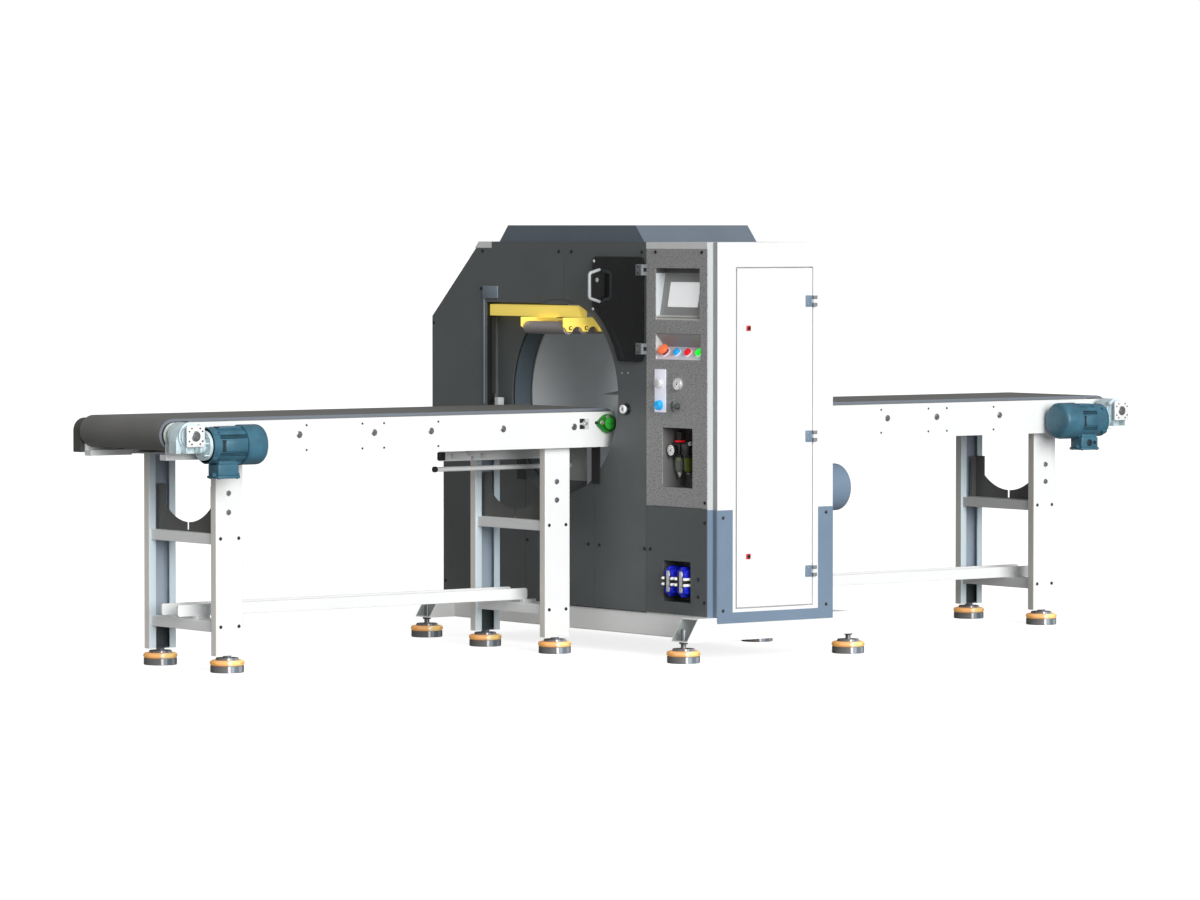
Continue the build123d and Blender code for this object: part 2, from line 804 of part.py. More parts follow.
def end_bracket():
    """Ear plate inside the rail's end with a bar under the outer drum."""
    y0 = CONV_Y - rail_in_y
    x0 = drum_out_x + BAR_PAST - BAR_L
    z1 = drum_z - BELT_R - BAR_DROP
    bar = box(x0, x0 + BAR_L, y0, y0 + BAR_W, z1 - BAR_H, z1)
    x1 = drum_out_x - EAR_X
    return bar + box(x1, x1 + EAR_L, y0, y0 + EAR_T, z1 - BAR_H, z1 - BAR_H + EAR_H)


def tie_bracket():
    """Angle bracket that ties the rail's inner end to the housing."""
    y = CONV_Y - rail_out_y + TIE_IN
    z1 = rail_z0
    tie = box(HOUSE_HALF, HOUSE_HALF + TIE_T, y - TIE_W / 2, y + TIE_W / 2, z1 - TIE_H, z1)
    return tie + box(HOUSE_HALF, HOUSE_HALF + TIE_SHELF, y - TIE_W / 2, y + TIE_W / 2, z1 - TIE_T, z1)


def housing_outline(z0):
    """Side view of the housing: step on the far side, chamfer above it."""
    step_z = base_z1 + STEP_H
    return poly((house_near, z0), (house_low_far, z0), (house_low_far, step_z), (house_far, step_z),
                (house_far, house_z1 - CHAMFER_Z), (house_far - CHAMFER_Y, house_z1), (house_near, house_z1))


def ring_disc(r):
    return disc(CONV_Y, ring_z, r)


def press_recess():
    return rect(rec_y0, rec_y1, rec_z0, rec_z1)


def guide_angles():
    return [45 + 90 * i for i in range(4)]


def guide_disc(angle, r):
    """Disc at one guide roller's place round the ring."""
    reach = rotor_r + GUIDE_R + GUIDE_RUN
    y = CONV_Y + reach * math.cos(math.radians(angle))
    z = ring_z + reach * math.sin(math.radians(angle))
    return disc(y, z, r)


def housing_body():
    """Closed housing with the tunnel, the ring's cavity, the press recess and the service space."""
    body = along_x(housing_outline(base_z1), face_x + SHEET, HOUSE_HALF - SHEET)
    body -= along_x(ring_disc(OPEN_R), face_x, cav_x1)
    body -= along_x(ring_disc(cav_r), cav_x0, cav_x1)
    body -= along_x(ring_disc(OPEN_R + LINER_T), cav_x1, HOUSE_HALF)
    body -= along_x(press_recess(), face_x, rec_x)
    service = rect(acc_y0 + WIN_LAP, acc_y1 - WIN_LAP, acc_z0 + WIN_LAP, acc_z1 - WIN_LAP)
    body -= along_x(service, face_x, rec_x)
    for angle in guide_angles():
        body -= along_x(guide_disc(angle, GUIDE_R + GUIDE_ROOM), cav_x0, cav_x1)
    return body


def seams(x0, x1):
    """Narrow gaps between the cover panels."""
    y = CONV_Y - SEAM_UP_Y
    gaps = along_x(rect(y - SEAM / 2, y + SEAM / 2, rec_z1, house_z1), x0, x1)
    for y in (CONV_Y + SEAM_LOW_Y[0], CONV_Y - SEAM_LOW_Y[1]):
        top = ring_z - OPEN_R * 0.6
        gaps += along_x(rect(y - SEAM / 2, y + SEAM / 2, base_z1, top), x0, x1)
    return gaps


def window_face(lap):
    """The access window's outline, held back by a lap and from the opening by the strip."""
    face = soft_rect(acc_y0 + lap, acc_y1 - lap, acc_z0 + lap, acc_z1 - lap, ACC_R)
    return face - ring_disc(OPEN_R + STRIP + lap)


def front_sheets():
    """Front cover panels with the opening, the press recess and the access window."""
    x1 = face_x + SHEET
    sheet = along_x(housing_outline(base_z1 + PANEL_GAP), face_x, x1)
    sheet -= along_x(ring_disc(OPEN_R) + press_recess() + window_face(WIN_LAP), face_x - SHEET, x1 + SHEET)
    return sheet - seams(face_x - SHEET, x1 + SHEET)


def back_sheets():
    """Rear cover panels with the round outlet."""
    x0 = HOUSE_HALF - SHEET
    sheet = along_x(housing_outline(base_z1 + PANEL_GAP), x0, HOUSE_HALF)
    sheet -= along_x(ring_disc(OPEN_R + LINER_T), x0 - SHEET, HOUSE_HALF + SHEET)
    return sheet - seams(x0 - SHEET, HOUSE_HALF + SHEET)


def tunnel_liner():
    """Round liner of the outlet half of the tunnel."""
    return along_x(ring_disc(OPEN_R + LINER_T) - ring_disc(OPEN_R), cav_x1 + LINER_STEP, HOUSE_HALF)


def wrap_ring():
    """Rotor of I-section: inner band, web and outer rim."""
    r0 = OPEN_R
    r1 = rotor_r
    mid = (rotor_x0 + rotor_x1) / 2
    section = rect(r0, r0 + ROTOR_BAND, rotor_x0, rotor_x1)
    section += rect(r0, r1, mid - ROTOR_WEB / 2, mid + ROTOR_WEB / 2)
    section += rect(r1 - ROTOR_RIM, r1, rotor_x0, rotor_x1)
    return turned(section, Plane(origin=(0, CONV_Y, ring_z), z_dir=(1, 0, 0)))


def guide_roller(angle):
    """Roller that carries the ring's rim, on a shaft held in the cavity's walls."""
    roller = along_x(guide_disc(angle, GUIDE_R), rotor_x0, rotor_x1)
    return roller + along_x(guide_disc(angle, GUIDE_SHAFT), cav_x0, cav_x1)


def roof_slab():
    """Roof slab with a sloping end cap on the far side."""
    far = CONV_Y + ROOF_FAR
    end = far + END_CAP_W
    face = poly((house_near, house_z1), (end, house_z1), (end - END_CAP_SLOPE, roof_z1), (house_near, roof_z1))
    return along_x(face, -HOUSE_HALF, HOUSE_HALF)


def hood():
    """Low hood on the roof with sloping ends."""
    y0 = CONV_Y - HOOD_NEAR
    y1 = CONV_Y + HOOD_FAR
    top = roof_z1 + HOOD_H
    face = poly((y0, roof_z1), (y1, roof_z1), (y1 - HOOD_SLOPE, top), (y0 + HOOD_SLOPE, top))
    return along_x(face, -HOOD_HALF, HOOD_HALF)


def press_beam():
    """Hollow beam with a slide block that runs on the guide."""
    y0 = CONV_Y - PB_NEAR
    y1 = guide_y0 - FIT
    outer = rect(pb_x0, pb_x1, pb_z0, pb_z1)
    inner = rect(pb_x0 + PB_WALL, pb_x1 - PB_WALL, pb_z0 + PB_WALL, pb_z1 - PB_WALL)
    beam = along_y(outer, y0, y1) - along_y(inner, y0 + PB_WALL, y1 - PB_BLOCK)
    return beam + box(pb_x0, pb_x1, y1 - PB_BLOCK, y1, pb_z0 - PB_BLOCK_LOW, pb_z1 + PB_BLOCK_UP)


def roller_xs():
    return [pb_x + i * ROLL_PITCH for i in (-1, 0, 1)]


def roller_cradle():
    """Two toothed end plates, arched between the axles, joined by a spine plate and the three axles."""
    half = ROLL_PITCH + CR_END
    plate = rect(pb_x - half, pb_x + half, roll_z - CR_TIP, pb_z0)
    arch_r = (ROLL_PITCH / 2) * 0.72
    arch_z = roll_z + CR_ARCH - arch_r
    for x in [pb_x - 1.5 * ROLL_PITCH, pb_x - ROLL_PITCH / 2, pb_x + ROLL_PITCH / 2, pb_x + 1.5 * ROLL_PITCH]:
        plate -= disc(x, arch_z, arch_r)
        plate -= rect(x - arch_r, x + arch_r, arch_z - arch_r, arch_z)
    cradle = along_y(plate, cr_y0, cr_y0 + CR_PLATE) + along_y(plate, cr_y1 - CR_PLATE, cr_y1)
    spine = PB_W / 2 + CR_SPINE
    cradle += box(pb_x - spine, pb_x + spine, cr_y0, cr_y1, pb_z0 - CR_PLATE, pb_z0)
    for x in roller_xs():
        cradle += along_y(disc(x, roll_z, AXLE_R), cr_y0 - AXLE_NUT, cr_y1 + AXLE_NUT)
        nut = Pos(x, roll_z) * RegularPolygon(AXLE_NUT_R, 6)
        cradle += along_y(nut, cr_y0 - AXLE_NUT, cr_y0)
        cradle += along_y(nut, cr_y1, cr_y1 + AXLE_NUT)
    return cradle


def press_roller(x):
    """Tube roller on its axle."""
    y0 = cr_y0 + CR_PLATE + ROLL_END
    y1 = cr_y1 - CR_PLATE - ROLL_END
    return along_y(disc(x, roll_z, ROLL_R) - disc(x, roll_z, AXLE_R + FIT), y0, y1)


def beam_guide():
    """Upright guide bar on the recess's far wall."""
    return box(pb_x - RAIL_G_W / 2, pb_x + RAIL_G_W / 2, guide_y0, rec_y1, BELT_TOP + RAIL_G_RISE, rec_z1)


def guard_post():
    """Strip beside the recess with a box at its head."""
    z0 = ring_z - POST_Z
    z1 = rec_z1 + POST_TOP
    post = box(face_x - POST_T, face_x, rec_y1, rec_y1 + POST_W, z0, z1)
    return post + box(face_x - POST_BOX_T, face_x, rec_y1 - POST_BOX_W, rec_y1 + POST_W, z1 - POST_BOX_H, z1)


def light_barrier():
    """Emitter box in the recess and the threaded receiver on the front sheet."""
    z0 = ring_z - EMIT_Z
    emitter = box(rec_x - EMIT_W + 4, rec_x, rec_y1 - EMIT_W, rec_y1, z0, z0 + EMIT_H)
    y = CONV_Y - EYE_Y
    z = ring_z - EYE_Z
    eye = along_x(disc(y, z, EYE_R), face_x - EYE_L, face_x)
    eye += along_x(Pos(y, z) * RegularPolygon(EYE_NUT, 6), face_x - EYE_L / 2, face_x)
    return [emitter, eye]


def clamp_plate():
    """Plate that closes the lower part of the opening, trimmed by the opening's circle."""
    face = rect(CONV_Y - CLAMP_Y0, CONV_Y + CLAMP_Y1, ring_z - OPEN_R - CLAMP_OVER, ring_z - CLAMP_UP)
    face = face & ring_disc(OPEN_R)
    return along_x(face, rec_x, rec_x + CLAMP_T)


def clamp_bars():
    """Flat bar and round rod that reach out along the infeed from the clamp plate."""
    z = ring_z - CBAR_DROP
    y = CONV_Y + CBAR_Y
    bar = box(rec_x - CBAR_L, rec_x, y - CBAR_W / 2, y + CBAR_W / 2, z, z + CBAR_H)
    rod = along_x(disc(CONV_Y, ring_z - CROD_DROP, CROD_R), rec_x - CROD_L, rec_x)
    return [bar, rod]


def film_finger():
    """Thin pointed finger at the near edge of the opening."""
    z = ring_z + FINGER_Z
    reach = math.sqrt(OPEN_R ** 2 - (FINGER_Z + FINGER_H) ** 2)
    root = CONV_Y - reach - FINGER_ROOT
    face = poly((root, z), (root, z + FINGER_H), (root + FINGER_L, z))
    x0 = face_x + SHEET
    return along_x(face & ring_disc(OPEN_R), x0, x0 + FINGER_T)


def access_door():
    """Tinted door with round corners and one edge that follows the opening."""
    return along_x(window_face(0), acc_x0, acc_x1)


def access_handle():
    """Bent grip on a black lock body, with the moving knuckles of the door's hinges."""
    y = acc_y1 - GRIP_EDGE
    z1 = acc_z1 - GRIP_TOP
    z0 = z1 - GRIP_H
    x = acc_x0 - GRIP_OUT
    path = FilletPolyline((acc_x0, y, z0), (x, y, z0 + GRIP_IN), (x, y, z1 - GRIP_IN), (acc_x0, y, z1), radius=2 * GRIP_R)
    grip = sweep(Plane(origin=path @ 0, z_dir=path % 0) * Circle(GRIP_R), path=path)
    grip -= box(acc_x0, acc_x1, y - GRIP_OUT, y + GRIP_OUT, z0 - GRIP_OUT, z1 + GRIP_OUT)
    mid = (z0 + z1) / 2
    lock = soft_rect(y - LOCK_W / 2 - LOCK_SHIFT, y + LOCK_W / 2 - LOCK_SHIFT, mid - LOCK_H / 2, mid + LOCK_H / 2, 4)
    return [grip, along_x(lock, acc_x0 - LOCK_T, acc_x0)]


def hinge_z(z0, z1, inset, count):
    return [z0 + inset + i * (z1 - z0 - 2 * inset) / (count - 1) for i in range(count)]


def fixed_knuckles(x, y, z):
    """Two outer knuckles and the pin of one hinge."""
    half = KNUCKLE_H * 1.5 + KNUCKLE_RUN
    gap = KNUCKLE_H / 2 + KNUCKLE_RUN
    part = along_z(disc(x, y, PIN_R), z - half, z + half)
    for z0 in (z - half, z + gap):
        part += along_z(disc(x, y, KNUCKLE_R), z0, z0 + KNUCKLE_H)
    return part


def hinge_spans(z):
    half = KNUCKLE_H * 1.5 + KNUCKLE_RUN
    gap = KNUCKLE_H / 2 + KNUCKLE_RUN
    return ((z - half, z - gap), (z + gap, z + half))


def moving_knuckle(x, y, z, leaf):
    """Middle knuckle with its leaf, bored for the pin."""
    half = KNUCKLE_H / 2
    part = along_z(disc(x, y, KNUCKLE_R), z - half, z + half) + leaf
    return part - along_z(disc(x, y, PIN_R + PIN_FIT), z - 2 * half, z + 2 * half)


acc_hinge_x = acc_x0 - KNUCKLE_R
acc_hinge_y = acc_y0 - ACC_HINGE_OFF
acc_hinge_zs = hinge_z(acc_z0, acc_z1, ACC_HINGE_IN, 2)
cab_hinge_x = door_x1 + DOOR_GAP
cab_hinge_y = door_y0 - KNUCKLE_R
cab_hinge_zs = hinge_z(door_z0, door_z1, CAB_HINGE_IN, 3)


def access_fixed(z):
    part = fixed_knuckles(acc_hinge_x, acc_hinge_y, z)
    for z0, z1 in hinge_spans(z):
        part += box(acc_hinge_x, face_x, acc_hinge_y - KNUCKLE_R, acc_hinge_y - KNUCKLE_R + LEAF_T, z0, z1)
        part += box(acc_hinge_x - 1, acc_hinge_x + 1, acc_hinge_y - KNUCKLE_R, acc_hinge_y, z0, z1)
    return part


def access_moving(z):
    half = KNUCKLE_H / 2
    leaf = box(acc_x0 - LEAF_T, acc_x0, acc_hinge_y, acc_hinge_y + ACC_LEAF, z - half, z + half)
    return moving_knuckle(acc_hinge_x, acc_hinge_y, z, leaf)


def cabinet_fixed(z):
    part = fixed_knuckles(cab_hinge_x, cab_hinge_y, z)
    for z0, z1 in hinge_spans(z):
        part += box(cab_hinge_x, cab_hinge_x + FIX_LEAF, cab_hinge_y, skin_y, z0, z1)
    return part


def cabinet_moving(z):
    half = KNUCKLE_H / 2
    leaf = box(cab_hinge_x - CAB_LEAF, cab_hinge_x, door_y0 - LEAF_T, door_y0, z - half, z + half)
    return moving_knuckle(cab_hinge_x, cab_hinge_y, z, leaf)


def hmi_face():
    """Side view of the display recess: shelf, sloping back plate and flat top."""
    return poly((face_x - CUT_PAST, hmi_z0), (face_x, hmi_z0), (face_x + HMI_IN_LOW, hmi_z0 + HMI_SHELF),
                (face_x + HMI_IN_UP, hmi_z1), (face_x - CUT_PAST, hmi_z1))


def button_face():
    """Side view of the button recess: sloping plate below, sloping roof above."""
    return poly((face_x - CUT_PAST, btn_z0), (face_x, btn_z0), (face_x + BTN_IN, (btn_z0 + btn_z1) / 2),
                (face_x, btn_z1), (face_x - CUT_PAST, btn_z1))


def door_frame(grow):
    return rect(door_x0 - grow, door_x1 + grow, door_z0 - grow, door_z1 + grow)


def cabinet_body():
    """Cabinet and control column with the door's seat, the cupboard and the column's recesses."""
    body = box(-cab_half, cab_half, cab_y0, house_near, base_z1, roof_z1)
    body += box(face_x + SHEET, -cab_half, col_y0, house_near, base_z1, house_z1)
    body += box(face_x, -cab_half, col_y0, house_near, house_z1, roof_z1)
    body -= along_y(hmi_face(), hmi_y0, hmi_y1)
    body -= along_y(button_face(), btn_y0, btn_y1)
    body -= box(face_x, face_x + AIR_DEPTH, air_y0, air_y1, air_z0, air_z1)
    body -= box(face_x, face_x + CUT_DEPTH, cut_y0, cut_y1, cut_z0, cut_z1)
    body -= along_y(door_frame(DOOR_GAP), cab_y0, door_y1 + DOOR_GAP)
    return body - along_y(door_frame(-CUP_IN), cab_y0, cab_y0 + CUP_D)


def column_panels():
    """Upper control panel and lower panel of the column, with their cut-outs."""
    y1 = house_near - SEAM
    past = face_x - CUT_PAST
    upper = along_x(rect(col_y0, y1, split_z, house_z1), face_x, face_x + SHEET)
    for y0, yb, z0, z1 in ((hmi_y0, hmi_y1, hmi_z0, hmi_z1), (btn_y0, btn_y1, btn_z0, btn_z1),
                           (air_y0, air_y1, air_z0, air_z1)):
        upper -= box(past, face_x + SHEET, y0, yb, z0, z1)
    lower = along_x(rect(col_y0, y1, base_z1 + PANEL_GAP, split_z - SEAM), face_x, face_x + SHEET)
    return [upper, lower - box(past, face_x + SHEET, cut_y0, cut_y1, cut_z0, cut_z1)]


def cabinet_skin():
    """White side sheet of the cabinet, open for the door."""
    sheet = along_y(rect(-cab_half, cab_half, base_z1 + PANEL_GAP, roof_z1), skin_y, cab_y0)
    return sheet - along_y(door_frame(DOOR_GAP), skin_y - SHEET, cab_y0)


def kick_plate():
    """U-shaped kick plate round the lower part of the door."""
    z0 = base_z1 - KICK_BOTTOM
    inner = cab_half - KICK_STRIP
    face = rect(-cab_half, cab_half, z0, base_z1 + KICK_TOP)
    face -= rect(-inner, inner, z0 + KICK_SILL, base_z1 + 2 * KICK_TOP)
    return along_y(face, skin_y - KICK_T, skin_y)


def cabinet_door():
    """Door leaf with its two locks and the moving hinge knuckles."""
    leaf = along_y(door_frame(0), door_y0, door_y1)
    x = door_x0 + LOCK_X
    for z in (door_z0 + LOCK_LOW, door_z1 - LOCK_UP):
        square = Pos(x, z) * Rectangle(LOCK_S, LOCK_S)
        leaf += along_y(square, door_y0 - LOCK_PROUD, door_y0)
    for z in cab_hinge_zs:
        leaf += cabinet_moving(z)
    return leaf


def hmi_plane(height):
    """Plane on the sloping back plate, facing the operator, at a height over the shelf."""
    run = HMI_H - HMI_SHELF
    lean = (HMI_IN_UP - HMI_IN_LOW) / run
    x = face_x + HMI_IN_LOW + height * lean
    normal = Vector(-1, 0, lean).normalized()
    return Plane(origin=(x, (hmi_y0 + hmi_y1) / 2, hmi_z0 + HMI_SHELF + height), x_dir=(0, -1, 0), z_dir=normal)


def hmi_screen():
    """Display on the sloping plate."""
    glass = RectangleRounded(SCREEN_W, SCREEN_H, 3)
    return hmi_plane(SCREEN_LIFT + SCREEN_H / 2) * extrude(glass, SCREEN_T)


def knob_profile(r, length):
    """Button or knob on its bezel, slightly domed."""
    return poly((0, 0), (BEZEL_R, 0), (BEZEL_R, BEZEL_T), (r, BEZEL_T), (r, length - 2), (r - 3, length), (0, length))


def stop_profile():
    """Mushroom head on a narrow neck."""
    neck = BEZEL_R * 0.7
    return poly((0, 0), (BEZEL_R, 0), (BEZEL_R, BEZEL_T), (neck, BEZEL_T), (neck, STOP_L * 0.45),
                (STOP_R, STOP_L * 0.55), (STOP_R, STOP_L * 0.8), (STOP_R * 0.7, STOP_L), (0, STOP_L))


def buttons():
    """Emergency stop and three buttons on the sloping plate, two buttons on the white plate."""
    half = BTN_H / 2
    normal = Vector(-half, 0, BTN_IN).normalized()
    x = face_x + BTN_IN / 2
    z = btn_z0 + half / 2
    parts = [turned(stop_profile(), Plane(origin=(x, btn_y1 - BTN_EDGE, z), z_dir=normal))]
    for i in range(3):
        y = btn_y1 - BTN_EDGE - STOP_GAP - i * BTN_PITCH
        parts.append(turned(knob_profile(BTN_R, BTN_L), Plane(origin=(x, y, z), z_dir=normal)))
    y = house_near - PLATE_EDGE - PLATE_W / 2
    for z in (plate_z1 - PLATE_BTN_IN[0], plate_z1 - PLATE_H + PLATE_BTN_IN[1]):
        place = Plane(origin=(face_x - SHEET, y, z), z_dir=(-1, 0, 0))
        parts.append(turned(knob_profile(PLATE_BTN_R, PLATE_BTN_L), place))
    return parts


def valve_plate():
    """White button plate, pressure gauge and valve knob on the column's face."""
    y1 = house_near - PLATE_EDGE
    plate = box(face_x - SHEET, face_x, y1 - PLATE_W, y1, plate_z1 - PLATE_H, plate_z1)
    y = house_near - GAUGE_Y
    z = plate_z1 - PLATE_BTN_IN[0]
    rim = poly((0, 0), (GAUGE_R - 3, 0), (GAUGE_R, 4), (GAUGE_R, GAUGE_L), (GAUGE_R - 3, GAUGE_L),
               (GAUGE_R - 3, GAUGE_L - 2), (0, GAUGE_L - 2))
    gauge = turned(rim, Plane(origin=(face_x, y, z), z_dir=(-1, 0, 0)))
    grip = poly((0, 0), (KNOB_R - KNOB_TAPER, 0), (KNOB_R, KNOB_L - 4), (KNOB_R - 4, KNOB_L), (0, KNOB_L))
    knob = turned(grip, Plane(origin=(face_x, y, z - KNOB_DROP), z_dir=(-1, 0, 0)))
    return [plate, gauge, knob]


def air_unit():
    """Regulator and filter side by side on a back bracket, with top knob, bowls, tips and a gauge."""
    back = face_x + AIR_DEPTH
    x = back - UNIT_BACK - UNIT_W / 2
    z1 = air_z1 - UNIT_DROP
    z0 = z1 - UNIT_H
    y = air_y1 - UNIT_EDGE - UNIT_W / 2
    far = y - UNIT_PITCH
    unit = box(x, back, far - UNIT_W / 4, y + UNIT_W / 4, z0 + UNIT_H / 4, z1 - UNIT_H / 4)
    for cy in (y, far):
        unit += along_z(Pos(x, cy) * RectangleRounded(UNIT_W, UNIT_W, 6), z0, z1)
        bowl = poly((0, 0), (TIP_R, 0), (TIP_R, TIP_H), (BOWL_R - 4, TIP_H), (BOWL_R, TIP_H + 6),
                    (BOWL_R, TIP_H + BOWL_H), (0, TIP_H + BOWL_H))
        unit += turned(bowl, Plane((x, cy, z0 - BOWL_H - TIP_H)))
    top = poly((0, 0), (TOP_RING_R, 0), (TOP_RING_R, TOP_RING_H), (TOP_R, TOP_RING_H), (TOP_R, TOP_H), (0, TOP_H))
    unit += turned(top, Plane((x, y, z1)))
    dial = Plane(origin=(x - UNIT_W / 2, y, z1 - DIAL_DROP), z_dir=(-1, 0, 0))
    return unit + turned(poly((0, 0), (DIAL_R, 0), (DIAL_R, DIAL_L), (0, DIAL_L)), dial)


def lobed_disc(y, z):
    """Round body with bumps round its edge and a bore."""
    face = disc(y, z, LOBE_R)
    for i in range(LOBE_COUNT):
        a = math.radians(30 + 360 * i / LOBE_COUNT)
        face += disc(y + LOBE_R * math.cos(a), z + LOBE_R * math.sin(a), LOBE_BUMP)
    return face - disc(y, z, LOBE_BORE)


def coupling(y):
    """Two lobed bodies, one over the other, with a flat metal core between them."""
    z = (cut_z0 + cut_z1) / 2
    back = face_x + CUT_DEPTH
    part = along_x(rect(y - CORE_W / 2, y + CORE_W / 2, z - CORE_H / 2, z + CORE_H / 2), face_x - CORE_PROUD, back)
    for side in (-1, 1):
        lobes = lobed_disc(y, z + side * LOBE_PITCH_Z / 2)
        part += along_x(lobes, face_x - LOBE_PROUD, face_x - LOBE_PROUD + LOBE_L)
    return part


def couplings():
    y = (cut_y0 + cut_y1) / 2
    return [coupling(y + side * LOBE_PITCH_Y / 2) for side in (-1, 1)]


def rear_drum():
    """Round drive housing behind the cabinet, with a rounded end."""
    y = house_near - REAR_Y
    drum = along_x(disc(y, base_z1 + REAR_Z, REAR_R), cab_half, cab_half + REAR_L)
    return fillet(drum.edges().sort_by(Axis.X)[-1], REAR_FILLET)


write("base_frame", [base_frame()])
write("foot_discs", [foot_disc(*place) for place in foot_places()])
write("foot_rings", [foot_ring(x, y) for x, y, plate_z, rise in foot_places()])
write("conveyor_legs", both_ends(both_sides([leg(x) for x in leg_xs])))
write("cross_beams", both_ends([cross_beam(x, low) for x in leg_xs for low in (BEAM_LOW, BEAM_UP)]))
write("arch_plates", both_ends([arch_plate(x) for x in leg_xs]))
write("stretchers", both_ends(both_sides([stretcher()])))
write("side_rails", both_ends(both_sides([side_rail()])))
write("belt_tensioners", both_ends(both_sides([tensioner()])))
write("conveyor_belts", both_ends([belt()]))
write("belt_beds", both_ends([belt_bed()]))
write("end_drums", both_ends([end_drum(DRUM_IN_X), end_drum(drum_out_x)]))
write("end_bearings", both_ends(both_sides([inner_bearing(), outer_bearing()])))
write("gearboxes", both_ends([gearbox()]))
write("drive_motors", both_ends([motor()]))
write("bearing_covers", both_ends([bearing_cover()]))
write("rail_brackets", both_ends(both_sides([end_bracket(), tie_bracket()])))
write("clamp_plate", [clamp_plate()])
write("clamp_bars", clamp_bars())
write("housing_body", [housing_body()])
write("tunnel_liner", [tunnel_liner()])
write("front_sheets", [front_sheets()])
write("back_sheets", [back_sheets()])
write("film_finger", [film_finger()])
write("roof_slab", [roof_slab()])
write("hood", [hood()])
write("wrap_ring", [wrap_ring()])
write("ring_rollers", [guide_roller(angle) for angle in guide_angles()])
write("press_beam", [press_beam()])
write("roller_cradle", [roller_cradle()])
for number, x in enumerate(roller_xs(), 1):
    write("press_roller_" + str(number), [press_roller(x)])
write("beam_guide", [beam_guide()])
write("guard_post", [guard_post()])
write("light_barrier", light_barrier())
write("access_door", [access_door()])
write("access_handle", access_handle() + [access_moving(z) for z in acc_hinge_zs])
write("fixed_hinges", [access_fixed(z) for z in acc_hinge_zs] + [cabinet_fixed(z) for z in cab_hinge_zs])
write("cabinet_body", [cabinet_body()])
write("cabinet_skin", [cabinet_skin()])
write("kick_plate", [kick_plate()])
write("cabinet_door", [cabinet_door()])
write("column_panels", column_panels())
write("hmi_screen", [hmi_screen()])
write("buttons", buttons())
write("valve_plate", valve_plate())
write("air_unit", [air_unit()])
write("couplings", couplings())
write("rear_motor_drum", [rear_drum()])
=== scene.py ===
import math

import bmesh
import bpy
from mathutils import Matrix, Vector


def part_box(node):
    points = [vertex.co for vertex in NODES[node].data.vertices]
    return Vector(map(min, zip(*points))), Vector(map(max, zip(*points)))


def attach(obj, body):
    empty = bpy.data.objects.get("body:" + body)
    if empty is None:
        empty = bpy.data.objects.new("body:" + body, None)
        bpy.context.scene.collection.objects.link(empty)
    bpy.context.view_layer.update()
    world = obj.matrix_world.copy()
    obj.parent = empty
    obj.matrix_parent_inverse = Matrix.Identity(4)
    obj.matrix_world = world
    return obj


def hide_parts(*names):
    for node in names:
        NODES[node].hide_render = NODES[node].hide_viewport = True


bl_info = {
    "name": "Orbital wrapping machine",
    "version": (1, 0, 0),
    "blender": (4, 5, 0),
    "location": "View3D > Sidebar > Wrapper",
    "description": "Builds the looks of an orbital wrapping machine round its packed frame",
    "category": "Object",
}

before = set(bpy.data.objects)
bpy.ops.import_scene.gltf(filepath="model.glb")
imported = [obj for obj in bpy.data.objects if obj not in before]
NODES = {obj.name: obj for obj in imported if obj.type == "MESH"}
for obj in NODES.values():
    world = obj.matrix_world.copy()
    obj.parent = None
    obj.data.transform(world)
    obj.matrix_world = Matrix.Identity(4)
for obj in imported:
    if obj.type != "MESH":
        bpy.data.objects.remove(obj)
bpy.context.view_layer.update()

MACHINE = "machine"
PRESS = "press"
ACCESS = "access"
CABINET = "cabinet"

# Boxes of the frame's nodes, in metres
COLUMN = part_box("column_panels")
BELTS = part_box("conveyor_belts")
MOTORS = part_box("drive_motors")
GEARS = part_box("gearboxes")
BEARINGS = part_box("end_bearings")
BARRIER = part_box("light_barrier")
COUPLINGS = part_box("couplings")
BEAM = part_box("press_beam")
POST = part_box("guard_post")
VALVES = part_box("valve_plate")
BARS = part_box("stretchers")

# Faces that small pieces sit on
FACE_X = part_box("front_sheets")[0].x
BACK_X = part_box("back_sheets")[1].x
ACCESS_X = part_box("access_door")[0].x
KICK_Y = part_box("kick_plate")[0].y
RAIL_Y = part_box("side_rails")[0].y
LEG_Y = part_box("conveyor_legs")[0].y
DOOR_Y = -0.866

# Middles and axes
MIDDLE_Y = (BELTS[0].y + BELTS[1].y) / 2
BELT_TOP = BELTS[1].z
DRUM_Z = (BELTS[0].z + BELTS[1].z) / 2
DRUM_X = BELTS[1].x - (BELTS[1].z - BELTS[0].z) / 2
DRUM_IN = 0.286
LEG_X = (0.483, 1.938)
COWL_R = 0.0715
MOTOR_Y = MOTORS[0].y + COWL_R
MOTOR_Z = MOTORS[1].z - COWL_R
TERMINAL_X = MOTORS[1].x - 0.077
GEAR_FACE = GEARS[0].y - 0.0020
HINGE_Z = (0.316, 0.813, 1.310)
AXLE_X = (-0.344, -0.270, -0.196)
AXLE_Z = 1.204
BUTTON_Y = {"stop": -0.567, "blue": -0.635, "red": -0.7005, "green": -0.7670}
GAUGE_Z = 1.008

# Ways that a piece points: out of the housing's front, out of its back, and towards the cabinet's side
AHEAD = (-1, 0, 0)
BACKWARD = (1, 0, 0)
ASIDE = (0, -1, 0)
UP = (0, 0, 1)
DOWN = (0, 0, -1)

# Turns round an axis, in degrees
QUARTERS = (0, 90, 180, 270)
CORNERS = (45, 135, 225, 315)

# Mirrors from the outfeed to the infeed, and from the near rail to the far one
INFEED = Matrix.Scale(-1, 4, (1, 0, 0))
FAR_RAIL = Matrix.Translation((0, 2 * MIDDLE_Y, 0)) @ Matrix.Scale(-1, 4, (0, 1, 0))

